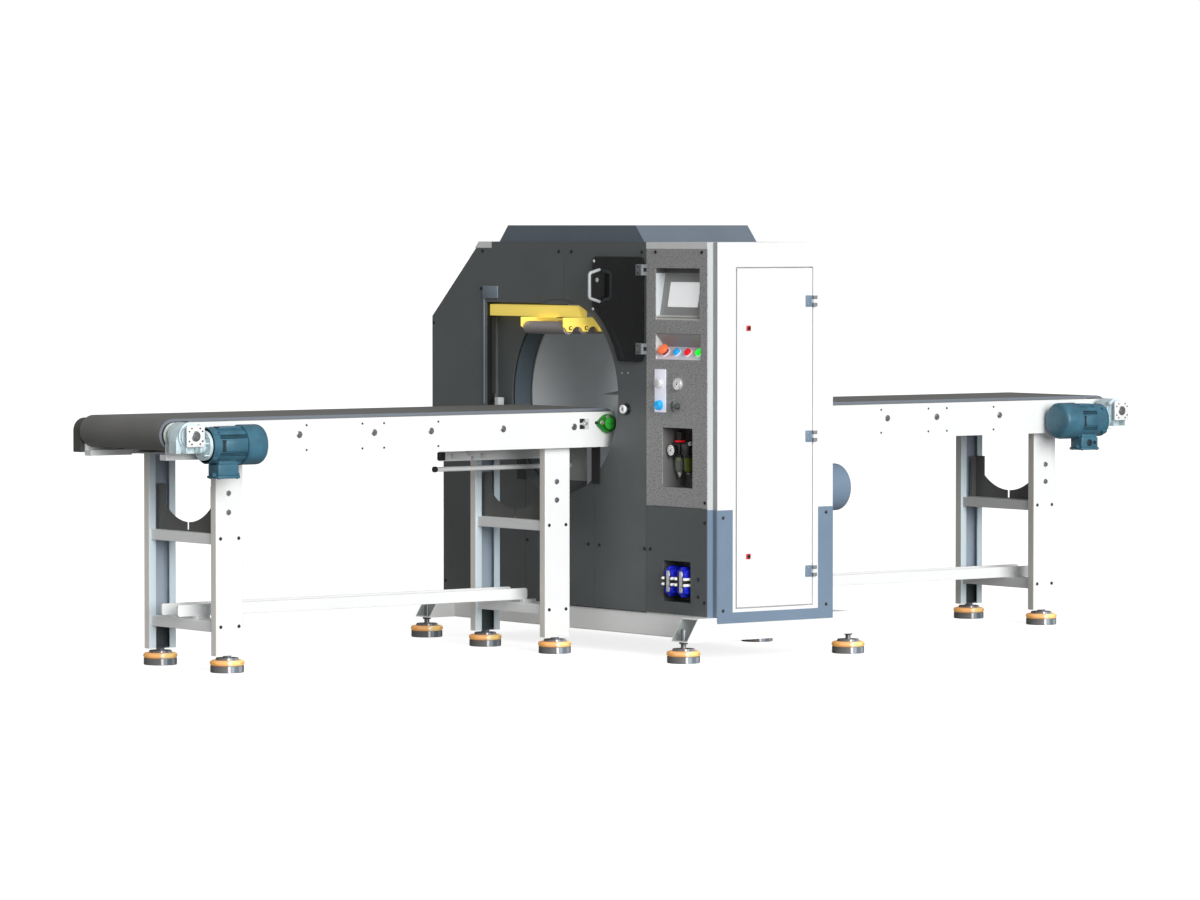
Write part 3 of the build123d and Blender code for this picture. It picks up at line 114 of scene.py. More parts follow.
# Places of the dome bolts on the cover panels and on the column, as (y, z)
PANEL_BOLTS = (
    (0.543, 1.490), (0.0568, 1.490), (-0.0213, 1.490), (-0.4528, 1.4895), (0.5536, 1.3466), (0.866, 1.2112),
    (0.7902, 0.2135), (0.2566, 0.3962), (-0.1271, 0.3976), (-0.1944, 0.3966), (-0.4691, 0.3961),
)
COLUMN_BOLTS = (
    (-0.5350, 1.4898), (-0.8080, 1.4898), (-0.5040, 0.3966), (-0.8276, 0.579), (-0.8276, 0.5062),
    (-0.7887, 0.298), (-0.7887, 0.2344), (-0.8251, 0.2145),
)

# Boxes, in metres, of the parts of a node that get another tone; the lock case and the hinge leaf are their
# own colour, and the others are said where they stand
# The press recess's wall beside the post is near black as painted shade; the housing's strip below the cover
# sheets is near black too
PRESS_RECESS_WALL = {"X": (-0.2968, -0.262), "Y": (0.500, 0.530), "Z": (0.80, 1.30)}
HOUSING_FOOT = {"Z": (0.10, 0.1632)}
# The rail brackets' ends under the rail, near the tunnel, are near black as painted shade
BRACKET_ENDS = {"X": (-0.36, 0.36), "Z": (0.5, 0.7645)}
# The base tubes' insides are a darker grey-green
BASE_TUBES = tuple({"Y": sides, "Z": (0.0795, 0.1565)} for sides in ((-0.8585, -0.7715), (0.7465, 0.8335)))
# The cradle's plate between the yellow brackets is near black as painted shadow under the beam
CRADLE_PLATE = {"Y": (-0.0620, 0.0696)}
LOCK_CASE = {"X": (-0.3292, -0.30), "Y": (-0.246, -0.190), "Z": (1.3185, 1.4085)}
GRIP_LEAF = {"Y": (-0.6, -0.42)}
COLUMN_RECESS = {"X": (-0.5, -0.18), "Y": (-0.81, -0.51)}
# The corner strip above the blue-grey carries painted shade
CORNER_STRIP = {"X": (-0.5, -0.268), "Y": (-0.9, -0.8385)}

# Heights of the column's recesses and of what shows inside them
RECESS_Z = {
    "all": (0.20, 1.4318),
    "lower panel": (0.20, 0.558),
    "air unit": (0.60, 0.90),
    "lintel": (1.413, 1.4318),
    "cheeks": (1.09, 1.4125),
    "button plate": (1.09, 1.1925),
    "shelf": (1.24, 1.2585),
    "joint": (1.2475, 1.2525),
}


class WrapperPaints(bpy.types.PropertyGroup):
    """Colours of the machine's finishes."""

    white: bpy.props.FloatVectorProperty(
        name="White coat", description="Powder coat of rails, legs and cabinet", subtype="COLOR",
        size=3, min=0, max=1, default=(0.85, 0.86, 0.855))
    panel: bpy.props.FloatVectorProperty(
        name="Panel grey", description="Dark coat of the cover panels", subtype="COLOR",
        size=3, min=0, max=1, default=(0.120, 0.132, 0.134))
    blue_grey: bpy.props.FloatVectorProperty(
        name="Blue grey", description="Coat of kick plate and rear drive", subtype="COLOR",
        size=3, min=0, max=1, default=(0.18, 0.25, 0.34))
    hood: bpy.props.FloatVectorProperty(
        name="Hood grey", description="Coat of the sloping hood", subtype="COLOR",
        size=3, min=0, max=1, default=(0.135, 0.168, 0.208))
    ring_blue: bpy.props.FloatVectorProperty(
        name="Ring blue", description="Dark blue coat of the wrapping ring", subtype="COLOR",
        size=3, min=0, max=1, default=(0.100, 0.135, 0.162))
    liner: bpy.props.FloatVectorProperty(
        name="Liner grey", description="Light grey coat of the tunnel's liner", subtype="COLOR",
        size=3, min=0, max=1, default=(0.47, 0.505, 0.525))
    column: bpy.props.FloatVectorProperty(
        name="Column grey", description="Speckled coat of the control column", subtype="COLOR",
        size=3, min=0, max=1, default=(0.37, 0.375, 0.37))
    yellow: bpy.props.FloatVectorProperty(
        name="Press yellow", description="Coat of the press beam and its cradle", subtype="COLOR",
        size=3, min=0, max=1, default=(0.86, 0.66, 0.125))
    teal: bpy.props.FloatVectorProperty(
        name="Motor teal", description="Coat of the drive motors", subtype="COLOR",
        size=3, min=0, max=1, default=(0.047, 0.148, 0.213))
    green: bpy.props.FloatVectorProperty(
        name="Bearing green", description="Coat of the drum bearings", subtype="COLOR",
        size=3, min=0, max=1, default=(0.02, 0.24, 0.02))
    belt: bpy.props.FloatVectorProperty(
        name="Belt grey", description="Cover of the conveyor belts", subtype="COLOR",
        size=3, min=0, max=1, default=(0.16, 0.158, 0.152))
    damping: bpy.props.FloatVectorProperty(
        name="Foot orange", description="Damping rings of the levelling feet", subtype="COLOR",
        size=3, min=0, max=1, default=(0.85, 0.42, 0.12))


class WrapperSizes(bpy.types.PropertyGroup):
    """Sizes of the fasteners."""

    rail_bolt: bpy.props.FloatProperty(
        name="Rail bolt", description="Radius of the rail bolts' heads", unit="LENGTH",
        min=0.004, max=0.02, default=0.010)
    panel_bolt: bpy.props.FloatProperty(
        name="Panel bolt", description="Radius of the cover panels' dome bolts", unit="LENGTH",
        min=0.003, max=0.012, default=0.0065)
    leg_plug: bpy.props.FloatProperty(
        name="Leg plug", description="Radius of the black plugs in the legs", unit="LENGTH",
        min=0.003, max=0.012, default=0.0065)


class WrapperStage(bpy.types.PropertyGroup):
    """Camera, floor and light."""

    eye: bpy.props.FloatVectorProperty(
        name="Camera place", description="Where the camera stands", subtype="TRANSLATION", unit="LENGTH",
        size=3, default=(-12.653, -16.419, 1.588))
    heading: bpy.props.FloatProperty(
        name="Heading", description="Camera's turn from +Y towards +X", subtype="ANGLE",
        default=math.radians(37.29))
    pitch: bpy.props.FloatProperty(
        name="Pitch", description="Camera's tilt below the horizon", subtype="ANGLE",
        default=math.radians(2.35))
    lens: bpy.props.FloatProperty(
        name="Lens", description="Focal length on a 36 mm sensor, in millimetres",
        min=10, max=400, default=164.3)
    key_power: bpy.props.FloatProperty(
        name="Key light", description="Strength of the soft key light", min=0, max=20, default=3.4)
    fill_power: bpy.props.FloatProperty(
        name="Fill light", description="Strength of the pale surroundings", min=0, max=5, default=0.35)
    bounce: bpy.props.FloatProperty(
        name="Floor bounce", description="Share of light that the floor throws back", min=0, max=1,
        default=0.35)


def paint(key):
    """One of the user's colours."""
    return tuple(getattr(bpy.context.scene.wrapper_paints, key))


def sizes():
    return bpy.context.scene.wrapper_sizes


# Modelling helpers

def rest_mode():
    """Go to object mode with nothing selected."""
    if bpy.context.object and bpy.context.object.mode != "OBJECT":
        bpy.ops.object.mode_set(mode="OBJECT")
    bpy.ops.object.select_all(action="DESELECT")


def take(obj, mode="OBJECT"):
    """Select one object alone and go to a mode with it."""
    rest_mode()
    obj.select_set(True)
    bpy.context.view_layer.objects.active = obj
    bpy.ops.object.mode_set(mode=mode)


def pick(obj, kind, test):
    """In edit mode, select just the faces or edges that pass a test."""
    bpy.ops.mesh.select_mode(type=kind)
    bpy.ops.mesh.select_all(action="DESELECT")
    mesh = bmesh.from_edit_mesh(obj.data)
    for part in mesh.faces if kind == "FACE" else mesh.edges:
        part.select_set(test(part))
    bmesh.update_edit_mesh(obj.data)


def turned(profile, sides=24):
    """Round piece about +Z: a disc, extruded and resized along (radius, height) points."""
    rest_mode()
    radius, height = profile[0]
    bpy.ops.mesh.primitive_circle_add(vertices=sides, radius=radius, fill_type="NGON",
                                      location=(0, 0, height))
    bpy.ops.object.transform_apply(location=True, rotation=True, scale=True)
    obj = bpy.context.object
    bpy.ops.object.mode_set(mode="EDIT")
    bpy.ops.mesh.select_all(action="SELECT")
    for r, h in profile[1:]:
        bpy.ops.mesh.extrude_region_move(TRANSFORM_OT_translate={"value": (0, 0, h - height)})
        if abs(r - radius) > 1e-7:
            bpy.ops.transform.resize(value=(r / radius, r / radius, 1), center_override=(0, 0, h))
        radius, height = r, h
    bpy.ops.mesh.select_all(action="SELECT")
    bpy.ops.mesh.normals_make_consistent(inside=False)
    rest_mode()
    return obj


def block(low, high, edge=0.0, segments=2):
    """Box between two corners with softened edges."""
    rest_mode()
    low, high = Vector(low), Vector(high)
    bpy.ops.mesh.primitive_cube_add(size=1, location=(low + high) / 2, scale=high - low)
    bpy.ops.object.transform_apply(location=True, rotation=True, scale=True)
    obj = bpy.context.object
    if edge:
        soften(obj, edge, segments)
    return obj


def soften(obj, width, segments):
    """Bevel the sharp edges and apply it."""
    take(obj)
    bevel = obj.modifiers.new("Soft edges", "BEVEL")
    bevel.width = width
    bevel.segments = segments
    bevel.limit_method = "ANGLE"
    bevel.angle_limit = math.radians(40)
    bpy.ops.object.modifier_apply(modifier=bevel.name)


def facing(origin, direction, turn=0.0):
    """Matrix that stands a +Z piece at a place, pointing along a direction, after a turn in radians."""
    upright = Vector(direction).to_track_quat("Z", "Y").to_matrix().to_4x4()
    return Matrix.Translation(Vector(origin)) @ upright @ Matrix.Rotation(turn, 4, "Z")


def about(centre, degrees, axis="X"):
    """Matrix that turns a piece about an axis and then moves it to a centre."""
    return Matrix.Translation(centre) @ Matrix.Rotation(math.radians(degrees), 4, axis)


def on_circle(across, up, radius, degrees):
    """Point at an angle on an upright circle, as its two coordinates."""
    angle = math.radians(degrees)
    return across + radius * math.cos(angle), up + radius * math.sin(angle)


def placed(obj, matrix):
    """Move a finished mesh to its place."""
    obj.data.transform(matrix)
    obj.data.update()
    return obj


def twin_of(obj):
    """A copy of a piece with its own mesh."""
    twin = obj.copy()
    twin.data = obj.data.copy()
    bpy.context.scene.collection.objects.link(twin)
    return twin


def copies(obj, places):
    """Turn one piece into a list of pieces, one for each matrix."""
    made = [placed(twin_of(obj), place) for place in places]
    mesh = obj.data
    bpy.data.objects.remove(obj)
    bpy.data.meshes.remove(mesh)
    return made


def ring_of(obj, centre, degrees, axis="X"):
    """Copies of a piece, turned about an axis through a centre."""
    return copies(obj, [about(centre, angle, axis) for angle in degrees])


def round_at(profile, origin, direction, sides=24):
    """Round piece that stands at a place and points along a direction."""
    return placed(turned(profile, sides), facing(origin, direction))


def rounds_at(profile, origins, direction, sides=24):
    """Like round pieces at several places."""
    return copies(turned(profile, sides), [facing(origin, direction) for origin in origins])


def mirrored(obj, mirror):
    """Turn a piece into its mirror image."""
    obj.data.transform(mirror)
    obj.data.flip_normals()
    return obj


def joined(name, pieces):
    """Join several pieces into one."""
    rest_mode()
    for piece in pieces:
        piece.select_set(True)
    bpy.context.view_layer.objects.active = pieces[0]
    if len(pieces) > 1:
        bpy.ops.object.join()
    pieces[0].name = name
    pieces[0].data.name = name
    return pieces[0]


def both_ends(pieces):
    """Pieces at the outfeed and their mirror images at the infeed."""
    return pieces + [mirrored(twin_of(piece), INFEED) for piece in pieces]


def both_rails(pieces):
    """Pieces on the near rail and their mirror images on the far one."""
    return pieces + [mirrored(twin_of(piece), FAR_RAIL) for piece in pieces]


def hex_head(r, height, washer=0.0):
    """Hexagonal head with a chamfer, and a washer where one shows."""
    parts = [turned([(r * 0.93, 0), (r, height * 0.08), (r, height * 0.75), (r * 0.84, height)], 6)]
    if washer:
        parts.append(turned([(washer, 0), (washer, height * 0.16), (washer * 0.94, height * 0.22)], 20))
    return joined("hex_head", parts)


def side_places(near_y, spots):
    """Matrices that point out of both sides of both conveyors, for (x, z, turn) spots."""
    places = []
    for side in (-1, 1):
        y = MIDDLE_Y + side * (MIDDLE_Y - near_y)
        for end in (-1, 1):
            places += [facing((end * x, y, z), (0, side, 0), turn) for x, z, turn in spots]
    return places


def set_down(name, pieces, key, body=MACHINE, angle=32, replaces=()):
    """Join, shade and paint finished pieces and hang them on their body."""
    obj = joined(name, pieces)
    take(obj)
    bpy.ops.object.shade_smooth_by_angle(angle=math.radians(angle))
    dress(obj, key)
    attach(obj, body)
    if replaces:
        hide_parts(*replaces)


# Materials

MATERIALS = {}


def dress(obj, key):
    """Give an object one finish."""
    obj.data.materials.clear()
    obj.data.materials.append(MATERIALS[key])


class Shader:
    """A small node tree on Object coordinates that ends in one Principled shader."""

    def __init__(self, name):
        self.material = bpy.data.materials.new(name)
        self.material.use_nodes = True
        self.tree = self.material.node_tree
        self.surface = self.tree.nodes["Principled BSDF"]
        self.texture = self.add("ShaderNodeTexCoord")
        self.place = self.texture.outputs["Object"]

    def add(self, kind, **values):
        node = self.tree.nodes.new(kind)
        for key, value in values.items():
            setattr(node, key, value)
        return node

    def feed(self, value, socket):
        """Link an output to a socket, or set the socket to a colour or a number."""
        if hasattr(value, "is_linked"):
            self.tree.links.new(value, socket)
        elif isinstance(value, tuple):
            socket.default_value = (*value, 1)
        else:
            socket.default_value = value

    def noise(self, scale, detail=4.0, rough=0.55, stretch=None):
        node = self.add("ShaderNodeTexNoise")
        node.inputs["Scale"].default_value = scale
        node.inputs["Detail"].default_value = detail
        node.inputs["Roughness"].default_value = rough
        source = self.place
        if stretch:
            mapping = self.add("ShaderNodeMapping")
            mapping.inputs["Scale"].default_value = stretch
            self.feed(source, mapping.inputs["Vector"])
            source = mapping.outputs["Vector"]
        self.feed(source, node.inputs["Vector"])
        return node.outputs["Fac"]

    def level(self, value, low, high, out_low=0.0, out_high=1.0):
        node = self.add("ShaderNodeMapRange")
        self.feed(value, node.inputs["Value"])
        limits = {"From Min": low, "From Max": high, "To Min": out_low, "To Max": out_high}
        for name, limit in limits.items():
            node.inputs[name].default_value = limit
        return node.outputs["Result"]

    def blend(self, factor, a, b):
        node = self.add("ShaderNodeMix", data_type="RGBA")
        self.feed(factor, node.inputs[0])
        self.feed(a, node.inputs[6])
        self.feed(b, node.inputs[7])
        return node.outputs[2]

    def math(self, kind, a, b=0.0):
        node = self.add("ShaderNodeMath", operation=kind)
        self.feed(a, node.inputs[0])
        self.feed(b, node.inputs[1])
        return node.outputs[0]

    def split(self, vector, name):
        node = self.add("ShaderNodeSeparateXYZ")
        self.feed(vector, node.inputs[0])
        return node.outputs[name]

    def axis(self, name):
        return self.split(self.place, name)

    def normal(self, name):
        return self.split(self.texture.outputs["Normal"], name)

    def both(self, a, b):
        return self.math("MULTIPLY", a, b)

    def distance(self, value, middle):
        return self.math("ABSOLUTE", self.math("SUBTRACT", value, middle))

    def region(self, box, **more):
        """1 inside a box given as axis and (low, high), 0 outside it."""
        inside = None
        for name, (low, high) in {**box, **more}.items():
            value = self.axis(name)
            between = self.both(self.math("GREATER_THAN", value, low), self.math("LESS_THAN", value, high))
            inside = between if inside is None else self.both(inside, between)
        return inside

    def leaning(self, name, sign, least):
        """1 where a face looks along an axis by at least this much."""
        return self.math("GREATER_THAN", self.both(self.normal(name), sign), least)

    def outfeed(self):
        """1 on the outfeed's half of the machine."""
        return self.math("GREATER_THAN", self.axis("X"), 0.0)

    def cloud(self, reach=0.2):
        """Broad faint clouds, from 0 to 1."""
        return self.level(self.noise(3.5, 5, 0.6), 0.5 - reach, 0.5 + reach)

    def cloudy(self, colour, spread, reach=0.2):
        """A colour that is a little darker and lighter in broad clouds."""
        return self.blend(self.cloud(reach), shade(colour, 1 - spread), shade(colour, 1 + spread))

    def colour(self, value):
        self.feed(value, self.surface.inputs["Base Color"])

    def roughness(self, value):
        self.feed(value, self.surface.inputs["Roughness"])

    def fixed(self, name, value):
        self.surface.inputs[name].default_value = value

    def glow(self, colour, strength):
        self.feed(colour, self.surface.inputs["Emission Color"])
        self.fixed("Emission Strength", strength)

    def bump(self, height, strength, distance):
        node = self.add("ShaderNodeBump")
        node.inputs["Strength"].default_value = strength
        node.inputs["Distance"].default_value = distance
        self.feed(height, node.inputs["Height"])
        self.feed(node.outputs["Normal"], self.surface.inputs["Normal"])

    def peel(self, rough, strength=0.25):
        """Uneven gloss and the orange peel of a sprayed coat. It ends a material and returns it."""
        self.roughness(self.level(self.noise(11, 4), 0.3, 0.7, rough - 0.05, rough + 0.06))
        self.bump(self.noise(850, 2), strength, 0.0002)
        return self.material


def shade(colour, factor):
    return tuple(min(1.0, c * factor) for c in colour)


def coat(name, colour, rough=0.42, spread=0.035, peel=0.25, gloss=0.5, glow=0.0):
    """Powder or spray coat: faint cloudiness, uneven gloss and orange peel."""
    s = Shader(name)
    s.colour(s.cloudy(colour, spread, 0.15))
    s.fixed("Specular IOR Level", gloss)
    s.glow(colour, glow)
    return s.peel(rough, peel)


def two_coats(name, low_colour, high_colour, axis, edge):
    """One coat below a height or width, another above it."""
    s = Shader(name)
    cloud = s.cloud()
    low = s.blend(cloud, shade(low_colour, 0.965), shade(low_colour, 1.035))
    high = s.blend(cloud, shade(high_colour, 0.965), shade(high_colour, 1.035))
    s.colour(s.blend(s.math("GREATER_THAN", s.axis(axis), edge), low, high))
    return s.peel(0.42)


def zoned_coat(name, colour, rough, spread, boxes, tone, reach=0.2, glow=0.0):
    """One coat with another tone inside some boxes."""
    s = Shader(name)
    result = s.cloudy(colour, spread, reach)
    for box in boxes:
        result = s.blend(s.region(box), result, tone)
    s.colour(result)
    s.glow(colour, glow)
    return s.peel(rough)


def cradle_coat(name, yellow, dark):
    """Yellow brackets with a near-black plate between them as painted shadow under the beam, all with a glow
    as painted light.
    """
    s = Shader(name)
    behind = s.math("SUBTRACT", 1.0, s.leaning("Y", -1.0, 0.6))
    colour = s.blend(s.both(s.region(CRADLE_PLATE), behind), s.cloudy(yellow, 0.03, 0.15), dark)
    s.colour(colour)
    s.glow(colour, 0.5)
    return s.peel(0.40)


def beam_coat(name, white, outfeed_shade):
    """White cross beams, darker and cloudy at the outfeed as painted shade, with a faint glow as painted
    light.
    """
    s = Shader(name)
    outfeed = s.outfeed()
    dull = shade(white, outfeed_shade)
    s.colour(s.blend(outfeed, white, s.blend(s.cloud(), dull, shade(white, 0.9 * outfeed_shade))))
    s.glow(s.blend(outfeed, white, dull), 0.08)
    return s.peel(0.38)


def leg_coat(name, white, painted_side, lip, web, low):
    """White legs with painted light and shade: a yellowish, brighter tone on faces towards -X that is darker
    at the outfeed, a cool tone on the lips, and a bluish inside that is near black low down.
    """
    s = Shader(name)
    lip_out, web_out, foot_top = 0.2055, 0.2335, 0.143
    between = s.distance(s.math("ABSOLUTE", s.axis("X")), (LEG_X[0] + LEG_X[1]) / 2)
    off = s.distance(between, (LEG_X[1] - LEG_X[0]) / 2)
    out = s.distance(s.axis("Y"), MIDDLE_Y)
    colour = s.cloudy(white, 0.02)
    # Painted light and shade on faces towards -X, darker at the outfeed; painted shade on the lips and inside
    colour = s.blend(s.leaning("X", -1.0, 0.7), colour, s.blend(s.outfeed(), painted_side, shade(painted_side, 0.64)))
    lips = s.both(s.math("LESS_THAN", out, lip_out), s.math("LESS_THAN", off, 0.0565))
    colour = s.blend(lips, colour, lip)
    inside = s.both(s.math("LESS_THAN", off, 0.0555), s.math("LESS_THAN", out, web_out))
    inside = s.both(inside, s.math("GREATER_THAN", out, lip_out))
    s.colour(s.blend(inside, colour, s.blend(s.math("LESS_THAN", s.axis("Z"), foot_top), web, low)))
    return s.peel(0.38)


def cabinet_coat(name, white, grey, dark, blue):
    """White cabinet with the grey insides of the column's recesses and its corner strip, with painted light
    and shade on both.
    """
    s = Shader(name)
    cloud = s.cloud()
    strip_foot, strip_top = 0.553, 1.6

    def recess(part):
        return s.region(COLUMN_RECESS, Z=RECESS_Z[part])

    inner = s.blend(s.level(s.noise(430, 3, 0.7), 0.38, 0.62), shade(grey, 0.8), shade(grey, 1.12))
    strip = s.region(CORNER_STRIP, Z=(strip_foot, strip_top))
    layers = (
        (recess("all"), inner),
        # Painted shade: the lower panel, the air unit's recess and the lintel are darker greys
        (recess("lower panel"), s.blend(cloud, shade(dark, 0.6), shade(dark, 0.75))),
        (recess("air unit"), s.blend(cloud, shade(grey, 0.50), shade(grey, 0.58))),
        (s.region(COLUMN_RECESS, X=(-0.2985, -0.18), Z=RECESS_Z["lintel"]), shade(grey, 0.42)),
        # Painted light on the recesses' cheeks that face -Y
        (s.both(recess("cheeks"), s.leaning("Y", -1.0, 0.5)), (0.78, 0.84, 0.85)),
        (s.both(recess("button plate"), s.leaning("Z", 1.0, 0.3)), (0.92, 0.92, 1.0)),
        (recess("shelf"), (0.62, 0.61, 0.57)),
        (recess("joint"), shade(grey, 0.7)),
        (s.region(CORNER_STRIP, Z=(0, strip_top)), blue),
        # Painted shade on the corner strip above the blue-grey, darker on its side facing -X
        (strip, (0.60, 0.625, 0.63)),
        (s.both(strip, s.leaning("X", -1.0, 0.5)), (0.377, 0.392, 0.398)),
    )
    colour = s.blend(cloud, shade(white, 0.98), shade(white, 1.02))
    for mask, tone in layers:
        colour = s.blend(mask, colour, tone)
    s.colour(colour)
    return s.peel(0.40)


def speckled(name, colour, low_colour, edge):
    """Textured column coat with light and dark grains, plain dark coat below an edge."""
    s = Shader(name)
    fine = s.noise(170, 4, 0.75)
    blots = s.noise(60, 4, 0.6)
    grain = s.blend(s.level(fine, 0.40, 0.60), shade(colour, 0.50), shade(colour, 1.40))
    grain = s.blend(s.level(blots, 0.42, 0.66, 0.0, 0.55), grain, shade(colour, 1.25))
    s.colour(s.blend(s.math("GREATER_THAN", s.axis("Z"), edge), low_colour, grain))
    s.roughness(s.level(blots, 0.3, 0.7, 0.5, 0.68))
    s.bump(fine, 0.5, 0.0005)
    return s.material


def brushed(name, colour, rough, stretch, metal=1.0):
    """Metal with fine scratches along one way."""
    s = Shader(name)
    lines = s.noise(30, 6, 0.65, stretch)
    s.colour(s.blend(s.level(lines, 0.35, 0.65), shade(colour, 0.8), shade(colour, 1.12)))
    s.roughness(s.level(lines, 0.3, 0.7, rough - 0.08, rough + 0.12))
    s.bump(lines, 0.12, 0.0002)
    s.fixed("Metallic", metal)
    return s.material


def cast(name, colour, rough, metal=0.0):
    """Painted or bare casting with a sandy skin."""
    s = Shader(name)
    sand = s.noise(320, 4, 0.6)
    s.colour(s.blend(s.level(s.noise(18, 4), 0.35, 0.65), shade(colour, 0.82), shade(colour, 1.15)))
    s.roughness(s.level(sand, 0.3, 0.7, rough - 0.08, rough + 0.1))
    s.bump(sand, 0.35, 0.0006)
    s.fixed("Metallic", metal)
    return s.material


def plastic(name, colour, rough, grain=0.06):
    """Moulded plastic with a fine grain."""
    s = Shader(name)
    s.colour(s.blend(s.level(s.noise(60, 3), 0.35, 0.65), shade(colour, 0.95), shade(colour, 1.05)))
    s.roughness(s.level(s.noise(400, 3), 0.3, 0.7, rough - 0.04, rough + 0.08))
    s.bump(s.noise(1400, 2), grain, 0.0002)
    return s.material


def belt_cover(name, colour, edge_colour):
    """Fine-grained belt cover with paler cut edges and a faint rubbed track."""
    s = Shader(name)
    half = (BELTS[1].y - BELTS[0].y) / 2
    edge = s.math("GREATER_THAN", s.distance(s.axis("Y"), MIDDLE_Y), half - 0.0008)
    grain = s.noise(700, 3, 0.7)
    drift = s.noise(5, 4, 0.6, (0.25, 1, 1))
    top = s.blend(s.level(drift, 0.35, 0.65), shade(colour, 0.9), shade(colour, 1.12))
    top = s.blend(s.level(grain, 0.4, 0.7, 0, 0.25), top, shade(colour, 1.5))
    s.colour(s.blend(edge, top, edge_colour))
    s.roughness(s.level(drift, 0.3, 0.7, 0.55, 0.72))
    s.bump(grain, 0.3, 0.0004)
    return s.material


def see_through(name, dark, light, scales, rough, alpha):
    """Glass or clear plastic that lets some of what is behind it through."""
    s = Shader(name)
    s.colour(s.blend(s.level(s.noise(scales[0], 3), 0.3, 0.7), dark, light))
    s.roughness(s.level(s.noise(scales[1], 3), 0.3, 0.7, *rough))
    s.fixed("Alpha", alpha)
    s.material.surface_render_method = "DITHERED"
    return s.material


def banded(name, base, bands, rough, top=None, glow=0.0):
    """Turned piece with painted reflections and highlights in upright bands, from left (-1) to right (1) of
    its front, a darker top, and a glow as painted light.
    """
    s = Shader(name)
    colour = s.blend(s.level(s.noise(60, 4), 0.3, 0.7), shade(base, 0.92), shade(base, 1.08))
    side = s.math("SUBTRACT", s.both(s.normal("X"), 0.795), s.both(s.normal("Y"), 0.606))
    for low, high, tone in bands:
        fade_in = s.level(side, low - 0.03, low + 0.03)
        fade_out = s.level(side, high - 0.03, high + 0.03, 1.0, 0.0)
        colour = s.blend(s.both(fade_in, fade_out), colour, tone)
    if top:
        colour = s.blend(s.leaning("Z", 1.0, 0.75), colour, top)
    s.colour(colour)
    s.glow(colour, glow)
    s.roughness(s.level(s.noise(60, 3), 0.3, 0.7, rough - 0.04, rough + 0.06))
    s.bump(s.noise(700, 3), 0.1, 0.0002)
    return s.material


def grip_coat(name):
    """Light grey grip with a black lock case and a grey hinge leaf."""
    s = Shader(name)
    grain = s.level(s.noise(90, 4), 0.3, 0.7)
    colour = s.blend(grain, (0.46, 0.49, 0.50), (0.54, 0.57, 0.58))
    colour = s.blend(s.region(LOCK_CASE), colour, (0.012, 0.013, 0.013))
    s.colour(s.blend(s.region(GRIP_LEAF), colour, (0.24, 0.26, 0.27)))
    s.roughness(s.level(grain, 0, 1, 0.32, 0.42))
    s.bump(s.noise(900, 2), 0.1, 0.0002)
    return s.material


